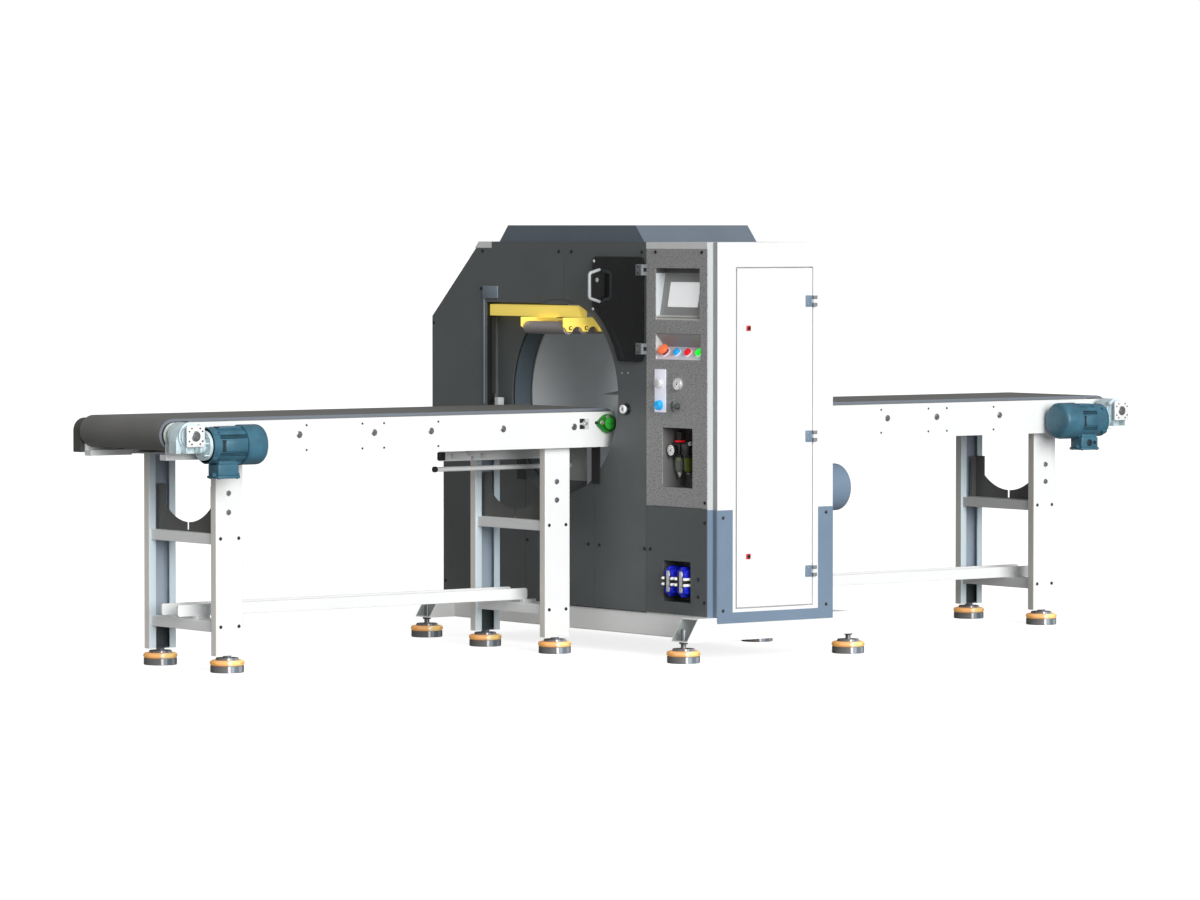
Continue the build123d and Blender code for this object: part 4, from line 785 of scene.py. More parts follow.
def make_coats():
    white, panel, grey = paint("white"), paint("panel"), paint("column")
    blue_grey, yellow = paint("blue_grey"), paint("yellow")
    # Near-black zones of the housing: painted shade on the press recess's wall, and the strip below the
    # sheets
    recesses = (PRESS_RECESS_WALL, HOUSING_FOOT)
    # Painted light and shade of the legs: faces towards -X, lips, inside, and the inside low down
    painted_leg_tones = ((0.98, 0.94, 0.88), (0.74, 0.86, 0.92), (0.43, 0.50, 0.58), (0.07, 0.09, 0.095))
    MATERIALS.update({
        "white": coat("White coat", white, 0.38, 0.02),
        "panel": coat("Panel grey", panel, 0.45, 0.05),
        "blue_grey": coat("Blue grey coat", blue_grey, 0.42, 0.04),
        "ring": coat("Ring blue coat", paint("ring_blue"), 0.4, 0.05),
        # The glows on the liner and the press yellow are painted light
        "liner": coat("Liner grey coat", paint("liner"), 0.35, 0.04, glow=0.08),
        "yellow": coat("Press yellow coat", yellow, 0.4, 0.03, glow=0.50),
        "hood": coat("Hood coat", paint("hood"), 0.4, 0.04),
        "post": coat("Post coat", (0.205, 0.250, 0.300), 0.42, 0.04),
        "arch": coat("Arch plate coat", (0.125, 0.128, 0.120), 0.45, 0.05),
        "cover": coat("Bearing cover coat", (0.068, 0.078, 0.062), 0.5, 0.05),
        # The beam guide's near black is painted shade
        "guide": coat("Guide coat", (0.045, 0.047, 0.046), 0.8, 0.05, gloss=0.1),
        "hinge": coat("Hinge grey", (0.22, 0.24, 0.25), 0.4, 0.04),
        "barrier": coat("Light barrier coat", (0.62, 0.64, 0.65), 0.4, 0.03),
        # The glows on the pale plate, the dials and the buttons are painted light; the display's glow is its
        # screen's own light
        "lilac": coat("Pale plate coat", (0.78, 0.79, 0.90), 0.35, 0.02, glow=0.35),
        "display": coat("Lit display", (0.80, 0.81, 0.82), 0.15, 0.02, 0.0, glow=0.45),
        "dial": coat("Dial white", (0.92, 0.92, 0.90), 0.3, 0.02, 0.05, glow=0.15),
        "button_blue": coat("Button blue", (0.01, 0.42, 0.90), 0.22, 0.05, 0.05, glow=0.25),
        "button_red": coat("Button red", (0.88, 0.004, 0.015), 0.22, 0.05, 0.05, glow=0.35),
        "button_green": coat("Button green", (0.005, 0.88, 0.02), 0.22, 0.05, 0.05, glow=0.80),
        "stop_head": coat("Stop orange", (0.88, 0.17, 0.06), 0.25, 0.05, 0.05, glow=0.40),
        "housing": zoned_coat("Housing coat", panel, 0.45, 0.05, recesses, (0.010, 0.011, 0.012), 0.15),
        # Painted shade: the brackets' ends under the rail are near black
        "bracket": zoned_coat("Bracket coats", white, 0.45, 0.02, (BRACKET_ENDS,), (0.020, 0.021, 0.020)),
        # A faint glow lightens the base's white as painted light
        "base": zoned_coat("Base coat", white, 0.38, 0.02, BASE_TUBES, (0.22, 0.265, 0.255), glow=0.10),
        "roof": two_coats("Roof coat", panel, white, "Y", MIDDLE_Y + 0.427),
        # The clamp plate is lighter above its edge as painted light
        "clamp": two_coats("Clamp plate coat", panel, (0.48, 0.50, 0.47), "Z", 0.628),
        "cradle": cradle_coat("Cradle coats", yellow, (0.045, 0.020, 0.016)),
        "leg": leg_coat("Leg coat", white, *painted_leg_tones),
        "beam": beam_coat("Cross beam coat", white, 0.62),
        "cabinet": cabinet_coat("Cabinet coats", white, grey, panel, blue_grey),
        "column": speckled("Column coat", grey, panel, COLUMN[0].z + 0.394),
        "grip": grip_coat("Door grip coats"),
    })


def make_metals():
    teal = paint("teal")
    # Painted reflections and a painted highlight across the foot discs
    painted_reflections = ((0.13, 0.27, (0.95, 0.96, 0.96)), (0.30, 0.50, (0.34, 0.38, 0.45)),
              (0.50, 0.75, (0.16, 0.20, 0.24)), (0.75, 0.92, (0.33, 0.36, 0.40)))
    MATERIALS.update({
        "teal": cast("Motor teal", teal, 0.4),
        # Dark teal: painted shade in the motor's slots, and the colour of its bolts and entries
        "slot_teal": cast("Motor slots", shade(teal, 0.16), 0.5),
        "pale_cast": cast("Gearbox casting", (0.70, 0.84, 0.90), 0.4, 0.1),
        "green": cast("Bearing green", paint("green"), 0.35),
        # Brighter green as a painted highlight on the bearing's rib and seal
        "bright_green": cast("Bearing seal green", (0.05, 0.55, 0.06), 0.3),
        "bed": brushed("Brushed steel", (0.42, 0.42, 0.42), 0.34, (8, 60, 8)),
        "drum": brushed("Turned steel", (0.36, 0.36, 0.36), 0.3, (60, 60, 6)),
        "press_roller": brushed("Roller steel", (0.46, 0.42, 0.41), 0.42, (60, 6, 60), 0.5),
        "bolt": brushed("Bolt steel", (0.45, 0.46, 0.47), 0.28, (20, 20, 20)),
        "pink_bolt": brushed("Passivated bolts", (0.62, 0.52, 0.50), 0.3, (20, 20, 20), 0.6),
        "silver": brushed("Silver fittings", (0.80, 0.80, 0.84), 0.35, (20, 20, 20), 0.4),
        "foot": banded("Foot steel", (0.155, 0.155, 0.155), painted_reflections, 0.5, (0.085, 0.07, 0.068)),
    })


def make_plastics():
    # Painted sheen and a painted highlight across the damping rings, which also glow as painted light
    painted_sheen = ((-0.55, 0.20, (0.92, 0.46, 0.17)), (0.20, 0.80, (1.0, 0.66, 0.24)),
             (0.12, 0.30, (1.0, 0.88, 0.60)))
    MATERIALS.update({
        "black_bolt": plastic("Black bolt", (0.012, 0.012, 0.012), 0.35),
        "black": plastic("Black plastic", (0.02, 0.02, 0.021), 0.32),
        "blue": plastic("Coupling blue", (0.01, 0.02, 0.62), 0.28),
        "screen": plastic("Screen glass", (0.80, 0.80, 0.80), 0.12, 0.0),
        "stop_neck": plastic("Stop collar", (0.30, 0.07, 0.05), 0.35),
        "knob": plastic("Knob grey", (0.09, 0.10, 0.10), 0.4),
        "olive": plastic("Oil bowl olive", (0.11, 0.15, 0.015), 0.15),
        "oil": plastic("Filter yellow", (0.45, 0.48, 0.12), 0.4),
        "lock_red": plastic("Lock red", (0.70, 0.03, 0.03), 0.3),
        "rubber": banded("Foot orange", paint("damping"), painted_sheen, 0.5, glow=0.28),
        "belt": belt_cover("Belt cover", paint("belt"), (0.167, 0.190, 0.225)),
        "tint": see_through("Smoked glass", (0.010, 0.011, 0.013), (0.016, 0.017, 0.019), (2.5, 9),
                            (0.05, 0.12), 0.8),
        "clear_bowl": see_through("Clear bowl", (0.30, 0.32, 0.28), (0.38, 0.40, 0.34), (40, 25),
                                  (0.06, 0.14), 0.45),
    })


FINISHES = {
    "white": ("stretchers", "side_rails", "cabinet_skin", "cabinet_door", "clamp_bars"),
    "bracket": ("rail_brackets",),
    "clamp": ("clamp_plate",),
    "base": ("base_frame",),
    "beam": ("cross_beams",),
    "foot": ("foot_discs",),
    "press_roller": ("press_roller_1", "press_roller_2", "press_roller_3"),
    "leg": ("conveyor_legs",),
    "housing": ("housing_body",),
    "panel": ("front_sheets", "back_sheets", "film_finger"),
    "arch": ("arch_plates",),
    "cover": ("bearing_covers",),
    "cabinet": ("cabinet_body",),
    "hood": ("hood",),
    "blue_grey": ("kick_plate", "guard_post", "rear_motor_drum"),
    "ring": ("wrap_ring",),
    "liner": ("tunnel_liner",),
    "yellow": ("press_beam",),
    "cradle": ("roller_cradle",),
    "lilac": ("valve_plate",),
    "roof": ("roof_slab",),
    "column": ("column_panels",),
    "teal": ("drive_motors",),
    "pale_cast": ("gearboxes",),
    "green": ("end_bearings",),
    "bed": ("belt_beds",),
    "black": ("air_unit", "buttons"),
    "guide": ("beam_guide",),
    "barrier": ("light_barrier", "belt_tensioners"),
    "hinge": ("fixed_hinges",),
    "grip": ("access_handle",),
    "drum": ("end_drums", "ring_rollers"),
    "rubber": ("foot_rings",),
    "belt": ("conveyor_belts",),
    "tint": ("access_door",),
    "blue": ("couplings",),
    "display": ("hmi_screen",),
}


# Pieces. A bolt's head takes its turn from its place, so that the heads don't all stand alike

class WRAPPER_OT_finishes(bpy.types.Operator):
    """Make the finishes and give one to every frame node"""

    bl_idname = "wrapper.finishes"
    bl_label = "Finishes"

    def execute(self, context):
        make_coats()
        make_metals()
        make_plastics()
        for key, nodes in FINISHES.items():
            for node in nodes:
                dress(NODES[node], key)
        return {"FINISHED"}


class WRAPPER_OT_rail_bolts(bpy.types.Operator):
    """Hex bolts and small screws along the conveyors' rails"""

    bl_idname = "wrapper.rail_bolts"
    bl_label = "Rail bolts"

    def execute(self, context):
        r = sizes().rail_bolt
        washer = turned([(r * 1.25, 0), (r * 1.25, 0.0015), (r * 1.1, 0.002)], 20)
        bolt = joined("bolt", [washer, turned([(r, 0.001), (r, 0.006), (r * 0.86, 0.0072)], 6)])
        screw = turned([(0.004, 0), (0.004, 0.0012), (0.003, 0.002), (0.0014, 0.002), (0.0014, 0.0008)], 12)
        bolt_spots = [(x, DRUM_Z - 0.010, x) for x in (0.435, 0.761, 1.086, 1.338, 1.664)]
        screw_spots = [(x, z, 0) for x in (1.054, 1.295, 1.390, 1.633) for z in (0.874, 0.785)]
        bolts = copies(bolt, side_places(RAIL_Y, bolt_spots))
        screws = copies(screw, side_places(RAIL_Y, screw_spots))
        set_down("rail_bolts", bolts, "bolt")
        set_down("rail_screws", screws, "black_bolt")
        return {"FINISHED"}


class WRAPPER_OT_leg_bolts(bpy.types.Operator):
    """Bolts and black plugs on the conveyors' legs"""

    bl_idname = "wrapper.leg_bolts"
    bl_label = "Leg bolts"

    def execute(self, context):
        r = sizes().leg_plug
        bolt = turned([(0.011, 0), (0.011, 0.0015), (0.008, 0.0015), (0.008, 0.006), (0.0065, 0.0072)], 6)
        plug = turned([(r, 0), (r, 0.001), (r * 0.7, 0.0018)], 16)
        bolt_spots = [(x + 0.004, z, 0) for x in LEG_X for z in (0.638, 0.570)]
        plug_spots = [(x + dx, z, 0) for x in LEG_X for dx in (-0.0386, 0.0386) for z in (0.477, 0.163)]
        set_down("leg_bolts", copies(bolt, side_places(LEG_Y, bolt_spots)), "bolt")
        set_down("leg_plugs", copies(plug, side_places(LEG_Y, plug_spots)), "black_bolt")
        return {"FINISHED"}


def runs_across(edge):
    """Whether an edge runs along Y."""
    way = edge.verts[1].co - edge.verts[0].co
    return abs(way.y) > 0.9 * way.length


def stretcher(foot, end):
    """Flat bar on edge with round corners, on a spacer over each lower cross beam of the outfeed."""
    y = MIDDLE_Y - 0.052
    bar = block((0.489, y - 0.005, foot), (end, y + 0.005, foot + 0.042))
    take(bar, "EDIT")
    pick(bar, "EDGE", runs_across)
    bpy.ops.mesh.bevel(offset=0.008, segments=5)
    soften(bar, 0.001, 1)
    spacers = [block((x - 0.030, y - 0.012, foot - 0.012), (x + 0.030, y + 0.012, foot + 0.001), 0.001, 1)
               for x in LEG_X]
    return [bar] + spacers


class WRAPPER_OT_stretchers(bpy.types.Operator):
    """Long bars on edge between the conveyors' lower cross beams"""

    bl_idname = "wrapper.stretchers"
    bl_label = "Stretchers"

    def execute(self, context):
        bars = [mirrored(piece, INFEED) for piece in stretcher(0.1915, BARS[1].x)]
        bars += stretcher(0.1805, BARS[1].x + 0.012)
        set_down("stretcher_bars", both_rails(bars), "white", replaces=("stretchers",))
        return {"FINISHED"}


class WRAPPER_OT_panel_bolts(bpy.types.Operator):
    """Black dome bolts that hold the cover panels"""

    bl_idname = "wrapper.panel_bolts"
    bl_label = "Panel bolts"

    def execute(self, context):
        r = sizes().panel_bolt
        dome = [(r, 0), (r * 0.94, r * 0.3), (r * 0.72, r * 0.52), (r * 0.35, r * 0.6), (r * 0.34, r * 0.25)]
        bolts = rounds_at(dome, [(FACE_X, y, z) for y, z in PANEL_BOLTS + COLUMN_BOLTS], AHEAD, 16)
        bolts += rounds_at(dome, [(BACK_X, y, z) for y, z in PANEL_BOLTS], BACKWARD, 16)
        set_down("panel_bolts", bolts, "black_bolt")
        return {"FINISHED"}


def grooved(obj, low, high, sides):
    """Sink two faces out of every quarter round of a shell's outer wall, on both sides of each pad."""
    take(obj, "EDIT")
    step = 360 / sides

    def in_groove(face):
        centre = face.calc_center_median()
        if abs(face.normal.z) > 0.5 or not low < centre.z < high:
            return False
        off = abs((math.degrees(math.atan2(centre.y, centre.x)) + 45) % 90 - 45)
        return 2.9 * step < off < 5.1 * step

    pick(obj, "FACE", in_groove)
    bpy.ops.mesh.extrude_region_move()
    bpy.ops.transform.resize(value=(0.9, 0.9, 1), center_override=(0, 0, 0))
    rest_mode()
    return obj


def motor(reach, pads, gap):
    """Painted parts, dark slots and bolts of the outfeed's motor; its slots end at reach."""
    x1, y, z = MOTORS[1].x, MOTOR_Y, MOTOR_Z
    low, mid = MOTORS[0].z, TERMINAL_X
    foot = (x1 - 0.145, y, z)
    shell = [(0.0600, 0), (0.0645, 0.001), (0.0645, 0.004), (0.0645, reach), (0.0645, 0.134), (0.0610, 0.138),
             (0.0610, 0.145)]
    shield = [(0.0620, 0), (0.0650, 0.001), (0.0650, 0.008), (0.0620, 0.010)]
    cowl = [(0.0690, 0), (COWL_R, 0.001), (COWL_R, 0.070), (0.0704, 0.077), (0.0670, 0.083), (0.0600, 0.0872),
            (0.0500, 0.0895), (0.0280, 0.0905)]
    gland = [(0.0090, 0), (0.0090, 0.008), (0.0068, 0.010), (0.0068, 0.013), (0.0045, 0.0145),
             (0.0040, 0.012)]
    fin = block((0.0045, -0.0008, 0.050), (reach - 0.0005, 0.0008, 0.0625), 0.0005, 1)
    pad = block((pads[0], -0.0200, 0.050), (pads[1], 0.0200, 0.0665), 0.003)
    lug = block((0.121, -0.009, 0.052), (0.144, 0.009, 0.0690), 0.004)
    painted = [placed(grooved(turned(shell, 48), 0.004, reach, 48), facing(foot, BACKWARD)),
               round_at(shield, (x1 - 0.010, y, z), BACKWARD, 48),
               round_at(cowl, (foot[0] + 0.006, y, z), AHEAD, 48)]
    painted += ring_of(fin, foot, [q + s * a for q in QUARTERS for s in (-1, 1) for a in (27.5, 32.5)])
    painted += ring_of(pad, foot, QUARTERS)
    painted += ring_of(lug, foot, CORNERS)
    # Neck, terminal box and lid under the shell
    for dx, dy, z0, z1, edge, segments in ((0.040, 0.031, low + 0.040, z - 0.030, 0.006, 2),
                                           (0.044, 0.034, low + 0.008, low + 0.052, 0.006, 3),
                                           (0.047, 0.037, low, low + 0.010, 0.003, 2)):
        painted.append(block((mid - dx, y - dy, z0), (mid + dx, y + dy, z1), edge, segments))
    for side in (-1, 1):
        painted.append(round_at(gland, (mid + side * 0.0425, y - 0.012, low + 0.013), (side, 0, 0), 6))

    # Near-black strips between the fins, and near-black gaps at the pads' ends, as painted shade in the slots
    strip = block((0.0042, -0.0076, 0.0560), (reach - 0.0002, 0.0076, 0.0592), 0.0004, 1)
    slots = ring_of(strip, foot, [q + a for q in QUARTERS for a in (-30, 30)])
    slots += ring_of(block((gap[0], -0.0210, 0.0600), (gap[1], 0.0210, 0.0649), 0.0008, 1), foot, QUARTERS)

    # Bolts through the lugs, and screws of the terminal box's lid
    lug_bolts = [facing(about(foot, a) @ Vector((0.121, 0, 0.0622)), AHEAD, a) for a in CORNERS]
    lid_bolts = [facing((mid + dx, y + dy, low), DOWN) for dx in (-0.038, 0.038) for dy in (-0.029, 0.029)]
    bolts = copies(hex_head(0.0055, 0.005), lug_bolts) + copies(hex_head(0.0035, 0.002), lid_bolts)
    return painted, slots, bolts


class WRAPPER_OT_motors(bpy.types.Operator):
    """Drive motors with slotted shells, smooth fan cowls and terminal boxes"""

    bl_idname = "wrapper.motors"
    bl_label = "Drive motors"

    def execute(self, context):
        outfeed = motor(0.086, (0.022, 0.086), (0.0050, 0.0205))
        infeed = motor(0.119, (0.006, 0.098), (0.0995, 0.1125))
        painted, slots, bolts = [near + [mirrored(piece, INFEED) for piece in far]
                                 for near, far in zip(outfeed, infeed)]
        set_down("motor_shells", painted, "teal", replaces=("drive_motors",))
        set_down("motor_slots", slots, "slot_teal")
        set_down("motor_bolts", bolts, "slot_teal")
        entries = []
        for dx, r, h in ((-0.004, 0.0135, 0.0030), (0.024, 0.0075, 0.0022)):
            socket = [(r, 0), (r, h), (r * 0.86, h + 0.001), (r * 0.70, h + 0.001), (r * 0.62, h - 0.001)]
            place = (TERMINAL_X + dx, MOTOR_Y - 0.0338, MOTORS[0].z + 0.029)
            entries.append(round_at(socket, place, ASIDE, 20))
        set_down("motor_entries", entries, "slot_teal")
        return {"FINISHED"}


class WRAPPER_OT_gearbox_fittings(bpy.types.Operator):
    """Face plates, screws, output bores, ribs and lifting eyes of the worm gearboxes"""

    bl_idname = "wrapper.gearbox_fittings"
    bl_label = "Gearbox fittings"

    def execute(self, context):
        x, face, z = DRUM_X, GEAR_FACE, DRUM_Z
        half = 0.0372
        # Face plate with a pair of screws at each corner
        plate = block((x - half, face, z - 0.0375), (x + half, face + 0.0080, z + 0.0375), 0.0012)
        set_down("gear_faces", both_ends([plate]), "white")

        screw = [(0.0030, 0), (0.0030, 0.0016), (0.0024, 0.0022), (0.0014, 0.0022), (0.0013, 0.001)]
        spots = [on_circle(x, z, 0.0325, corner + off) for corner in CORNERS for off in (-13, 13)]
        screws = rounds_at(screw, [(across, face, up) for across, up in spots], ASIDE, 12)
        set_down("gear_screws", both_ends(screws), "black_bolt")

        # Output bore, and the bolts of the motor's flange
        bore = [(0.0185, 0), (0.0185, 0.0010), (0.0175, 0.0016), (0.0120, 0.0016), (0.0110, 0.0006),
                (0.0080, 0.0006), (0.0074, 0.0018), (0.0030, 0.0020)]
        flange = (x - 0.062, MOTOR_Y, MOTOR_Z)
        places = [facing(about(flange, a) @ Vector((0, 0, 0.0460)), BACKWARD, a) for a in CORNERS]
        steel = [round_at(bore, (x, face, z), ASIDE, 36)] + copies(hex_head(0.0050, 0.005), places)
        set_down("gear_bores", both_ends(steel), "bolt")

        # Ribs under the case and on the motor's flange, and the lifting eye
        ribs = [block((x + dx - 0.0025, face + 0.012, z - 0.060),
                      (x + dx + 0.0025, GEARS[1].y - 0.012, z - 0.036), 0.0015) for dx in (-0.030, 0.030)]
        ribs += [block((x - 0.068, MOTOR_Y - 0.042, MOTOR_Z + dz),
                       (x - 0.045, MOTOR_Y - 0.030, MOTOR_Z + dz + 0.005), 0.0015) for dz in (-0.036, 0.006)]
        eye = [(0.0105, 0), (0.0105, 0.012), (0.009, 0.0135)]
        ribs.append(round_at(eye, (x - 0.034, face + 0.030, z + 0.026), (-0.4, 0, 1), 24))
        set_down("gear_ribs", both_ends(ribs), "pale_cast")
        return {"FINISHED"}


class WRAPPER_OT_bearing_fittings(bpy.types.Operator):
    """Bolts, ribs and nipples of the drum bearings, and the belt tension screws"""

    bl_idname = "wrapper.bearing_fittings"
    bl_label = "Bearing fittings"

    def execute(self, context):
        hub = BEARINGS[0].y
        flange = hub + 0.012
        # Tension screw in the rail's slot
        tension = (0.3815, RAIL_Y + 0.004, DRUM_Z + 0.002)
        # Three bolts at the inner drum's bearing, two at the outer drum's
        inner = [facing((DRUM_IN + dx, flange, DRUM_Z + dz), ASIDE, (DRUM_IN + dx) * 40)
                 for dx, dz in ((0, 0.0225), (0, -0.0155), (0.027, 0.0035))]
        outer = []
        for angle in (135, 225):
            across, up = on_circle(DRUM_X, DRUM_Z, 0.027, angle)
            outer.append(facing((across, flange, up), ASIDE, angle))
        bolts = copies(hex_head(0.0065, 0.0050, 0.0085), inner)
        bolts += copies(hex_head(0.0055, 0.0045, 0.0075), outer)
        bolts += copies(hex_head(0.0085, 0.007, 0.0105), [facing(tension, ASIDE, 0.5)])
        bolts.append(round_at([(0.0042, 0), (0.0042, 0.016), (0.0035, 0.017)], tension, ASIDE, 12))
        set_down("bearing_bolts", both_rails(both_ends(bolts)), "pink_bolt")

        # Raised rib and seal of the inner drum's bearing, in a brighter green as a painted highlight
        rib = block((DRUM_IN - 0.017, hub - 0.0022, DRUM_Z - 0.0005),
                    (DRUM_IN + 0.017, hub + 0.003, DRUM_Z + 0.0055), 0.0012)
        rim = round_at([(0.0222, 0), (0.0222, 0.0012), (0.0212, 0.0022), (0.0180, 0.0022), (0.0172, 0.0008)],
                       (DRUM_IN, hub + 0.0005, DRUM_Z), ASIDE, 32)
        set_down("bearing_ribs", both_rails(both_ends([rib, rim])), "bright_green")

        nipple = round_at([(0.0060, 0), (0.0060, 0.003), (0.0042, 0.0045), (0.0042, 0.008), (0.0030, 0.0095),
                           (0.0034, 0.011), (0.0022, 0.0125)], (0.333, RAIL_Y, DRUM_Z + 0.003), ASIDE, 12)
        set_down("grease_nipples", both_rails(both_ends([nipple])), "black_bolt")

        shadow = block((0.369, RAIL_Y + 0.0055, DRUM_Z - 0.019),
                       (0.408, RAIL_Y + 0.0062, DRUM_Z + 0.019), 0.0002, 1)
        set_down("slot_shadows", both_rails(both_ends([shadow])), "black")
        return {"FINISHED"}


class WRAPPER_OT_light_barrier_rings(bpy.types.Operator):
    """Emitter on its bracket beside the tunnel and round receiver with its lock nut"""

    bl_idname = "wrapper.light_barrier_rings"
    bl_label = "Light barrier"

    def execute(self, context):
        x, y, z = BARRIER[0].x, -0.360, BELT_TOP
        # Emitter's case, and the receiver's barrel
        emitter = block((-0.2905, 0.4560, 0.8970), (-0.2625, 0.4820, 0.9310), 0.003, 3)
        barrel = round_at([(0.0120, 0), (0.0120, 0.0120), (0.0105, 0.0130)], (FACE_X, y, z), AHEAD, 28)
        set_down("barrier_case", [emitter, barrel], "barrier", replaces=("light_barrier",))
        ring = round_at([(0.0150, 0), (0.0160, 0.0010), (0.0160, 0.0070), (0.0145, 0.0085), (0.0105, 0.0085),
                         (0.0095, 0.0040)], (x + 0.0085, y, z), AHEAD, 32)
        set_down("barrier_rings", [ring], "dial")
        lens = round_at([(0.0098, 0), (0.0098, 0.0020), (0.0080, 0.0040), (0.0035, 0.0050)],
                        (x + 0.0060, y, z), AHEAD, 20)
        set_down("barrier_lens", [lens], "silver")
        # Emitter's arm, and the receiver's nut and toothed washer
        arm = block((-0.2840, 0.4800, 0.9000), (-0.2700, 0.5190, 0.9120), 0.001)
        nut = placed(hex_head(0.0195, 0.0070, 0.0215), facing((FACE_X - 0.0002, y, z), AHEAD, 0.3))
        tooth = block((-0.0080, -0.0032, 0.0150), (-0.0015, 0.0032, 0.0225), 0.0012)
        slot = round_at([(0.0035, 0), (0.0035, 0.0008), (0.0028, 0.0014)], (x + 0.0010, y, z), AHEAD, 12)
        darks = [arm, nut, slot] + ring_of(tooth, (FACE_X, y, z), range(0, 360, 45))
        set_down("barrier_nuts", darks, "black")
        return {"FINISHED"}


class WRAPPER_OT_guard_post(bpy.types.Operator):
    """Narrow post with its flat head beside the press recess, and the strip over the round opening's crown"""

    bl_idname = "wrapper.guard_post"
    bl_label = "Guard post"

    def execute(self, context):
        low, high = POST
        near, far = high.y - 0.0175, high.y - 0.0070
        strip = block((FACE_X - 0.0045, near, low.z), (FACE_X, far, high.z - 0.001), 0.0012)
        head = block((FACE_X - 0.0060, low.y - 0.006, high.z - 0.0480), (FACE_X, far, high.z), 0.0015)
        set_down("post_strip", [strip, head], "post", replaces=("guard_post",))
        dot = round_at([(0.0060, 0), (0.0056, 0.0020), (0.0040, 0.0032)],
                       (FACE_X, far + 0.0135, high.z - 0.010), AHEAD, 16)
        set_down("post_dots", [dot], "black_bolt")
        crown = block((FACE_X + 0.0032, -0.0610, BEAM[1].z + 0.0025),
                      (FACE_X + 0.0062, 0.1790, 1.3125), 0.0004, 1)
        set_down("crown_strip", [crown], "panel")
        return {"FINISHED"}


def button_place(key):
    """Foot and direction of a button on the column's sloping plate."""
    return (FACE_X + 0.0240, BUTTON_Y[key], COLUMN[1].z - 0.38135), (-0.0495, 0, 0.043)


class WRAPPER_OT_push_buttons(bpy.types.Operator):
    """Emergency stop and push buttons with their collars"""

    bl_idname = "wrapper.push_buttons"
    bl_label = "Buttons"

    def execute(self, context):
        collars = []
        for key in BUTTON_Y:
            r = 0.0180 if key == "stop" else 0.0162
            collar = [(r, 0), (r, 0.0018), (r - 0.001, 0.0030), (r - 0.0022, 0.0034), (r - 0.0026, 0.0020)]
            collars.append(round_at(collar, *button_place(key), 32))
        set_down("button_collars", collars, "lilac", replaces=("buttons",))
        cap = [(0.0138, 0.0005), (0.0138, 0.0115), (0.0130, 0.0133), (0.0112, 0.0143), (0.0050, 0.0150)]
        for key in ("blue", "red", "green"):
            piece = round_at(cap, *button_place(key), 32)
            set_down("button_" + key, [piece], "button_" + key, angle=40)
        neck = [(0.0150, 0.001), (0.0150, 0.006), (0.0125, 0.008), (0.0125, 0.016)]
        set_down("stop_neck", [round_at(neck, *button_place("stop"), 32)], "stop_neck")
        head = [(0.0150, 0.0135), (0.0190, 0.0145), (0.0208, 0.0165), (0.0210, 0.0235), (0.0196, 0.0268),
                (0.0160, 0.0290), (0.0080, 0.0300)]
        # Emergency stop
        mushroom = round_at(head, *button_place("stop"), 40)
        set_down("stop_head", [mushroom], "stop_head", angle=40)
        # Two round actuators on the pale plate
        push = [(0.0185, 0), (0.0185, 0.0035), (0.0172, 0.0045), (0.0172, 0.0140), (0.0160, 0.0165),
                (0.0110, 0.0178)]
        for name, z, key in (("plate_button_white", GAUGE_Z, "screen"),
                             ("plate_button_blue", 0.928, "button_blue")):
            piece = round_at(push, (FACE_X - 0.003, -0.5645, z), AHEAD, 36)
            set_down(name, [piece], key, angle=40)
        return {"FINISHED"}


def dial(name, origin, r):
    """Plain dial face with its ring of marks and a needle, facing -X."""
    face = round_at([(r, 0), (r, 0.0006), (r * 0.96, 0.0010)], origin, AHEAD, 36)
    set_down(name + "_face", [face], "dial")
    marks = []
    for foot, angles in ((0.62, range(-120, 121, 60)), (0.72, range(-90, 91, 60))):
        tick = block((-0.0013, -r * 0.035, r * foot), (-0.0008, r * 0.035, r * 0.86))
        marks += ring_of(tick, origin, angles)
    marks += ring_of(block((-0.0018, -r * 0.05, -r * 0.18), (-0.0013, r * 0.05, r * 0.58)), origin, [38])
    marks.append(round_at([(r * 0.13, 0.0008), (r * 0.13, 0.0020), (r * 0.09, 0.0025)], origin, AHEAD, 16))
    set_down(name + "_marks", marks, "black")


class WRAPPER_OT_gauge(bpy.types.Operator):
    """Pale plate, pressure gauge with its dial, and the lever of the valve"""

    bl_idname = "wrapper.gauge"
    bl_label = "Gauge and valve"

    def execute(self, context):
        low, high = VALVES
        plate = block((FACE_X - 0.0030, -0.5980, low.z), (FACE_X, high.y, high.z), 0.0008)
        set_down("valve_plates", [plate], "lilac", replaces=("valve_plate",))
        gauge_y = -0.6755
        case = round_at([(0.0200, 0), (0.0225, 0.0010), (0.0230, 0.0030), (0.0230, 0.0110), (0.0222, 0.0128),
                         (0.0208, 0.0134), (0.0203, 0.0110)], (FACE_X, gauge_y, GAUGE_Z), AHEAD, 40)
        set_down("gauge_case", [case], "silver")
        dial("gauge", (FACE_X - 0.0112, gauge_y, GAUGE_Z), 0.0201)
        y, z = -0.6700, 0.926
        # Valve's boss with a curved lever on one arm
        boss = round_at([(0.0120, 0), (0.0120, 0.0030), (0.0090, 0.0050), (0.0090, 0.0150), (0.0078, 0.0165)],
                        (FACE_X, y, z), AHEAD, 28)
        centre = (FACE_X - 0.0165, y, z)
        arc = ring_of(block((-0.0040, -0.0052, 0.0155), (0.0020, 0.0052, 0.0225), 0.0015), centre,
                      range(-150, -41, 18))
        arm = ring_of(block((-0.0040, -0.0040, 0.0000), (0.0020, 0.0040, 0.0190), 0.0015), centre, [-96])
        set_down("valve_lever", [boss] + arc + arm, "knob")
        return {"FINISHED"}


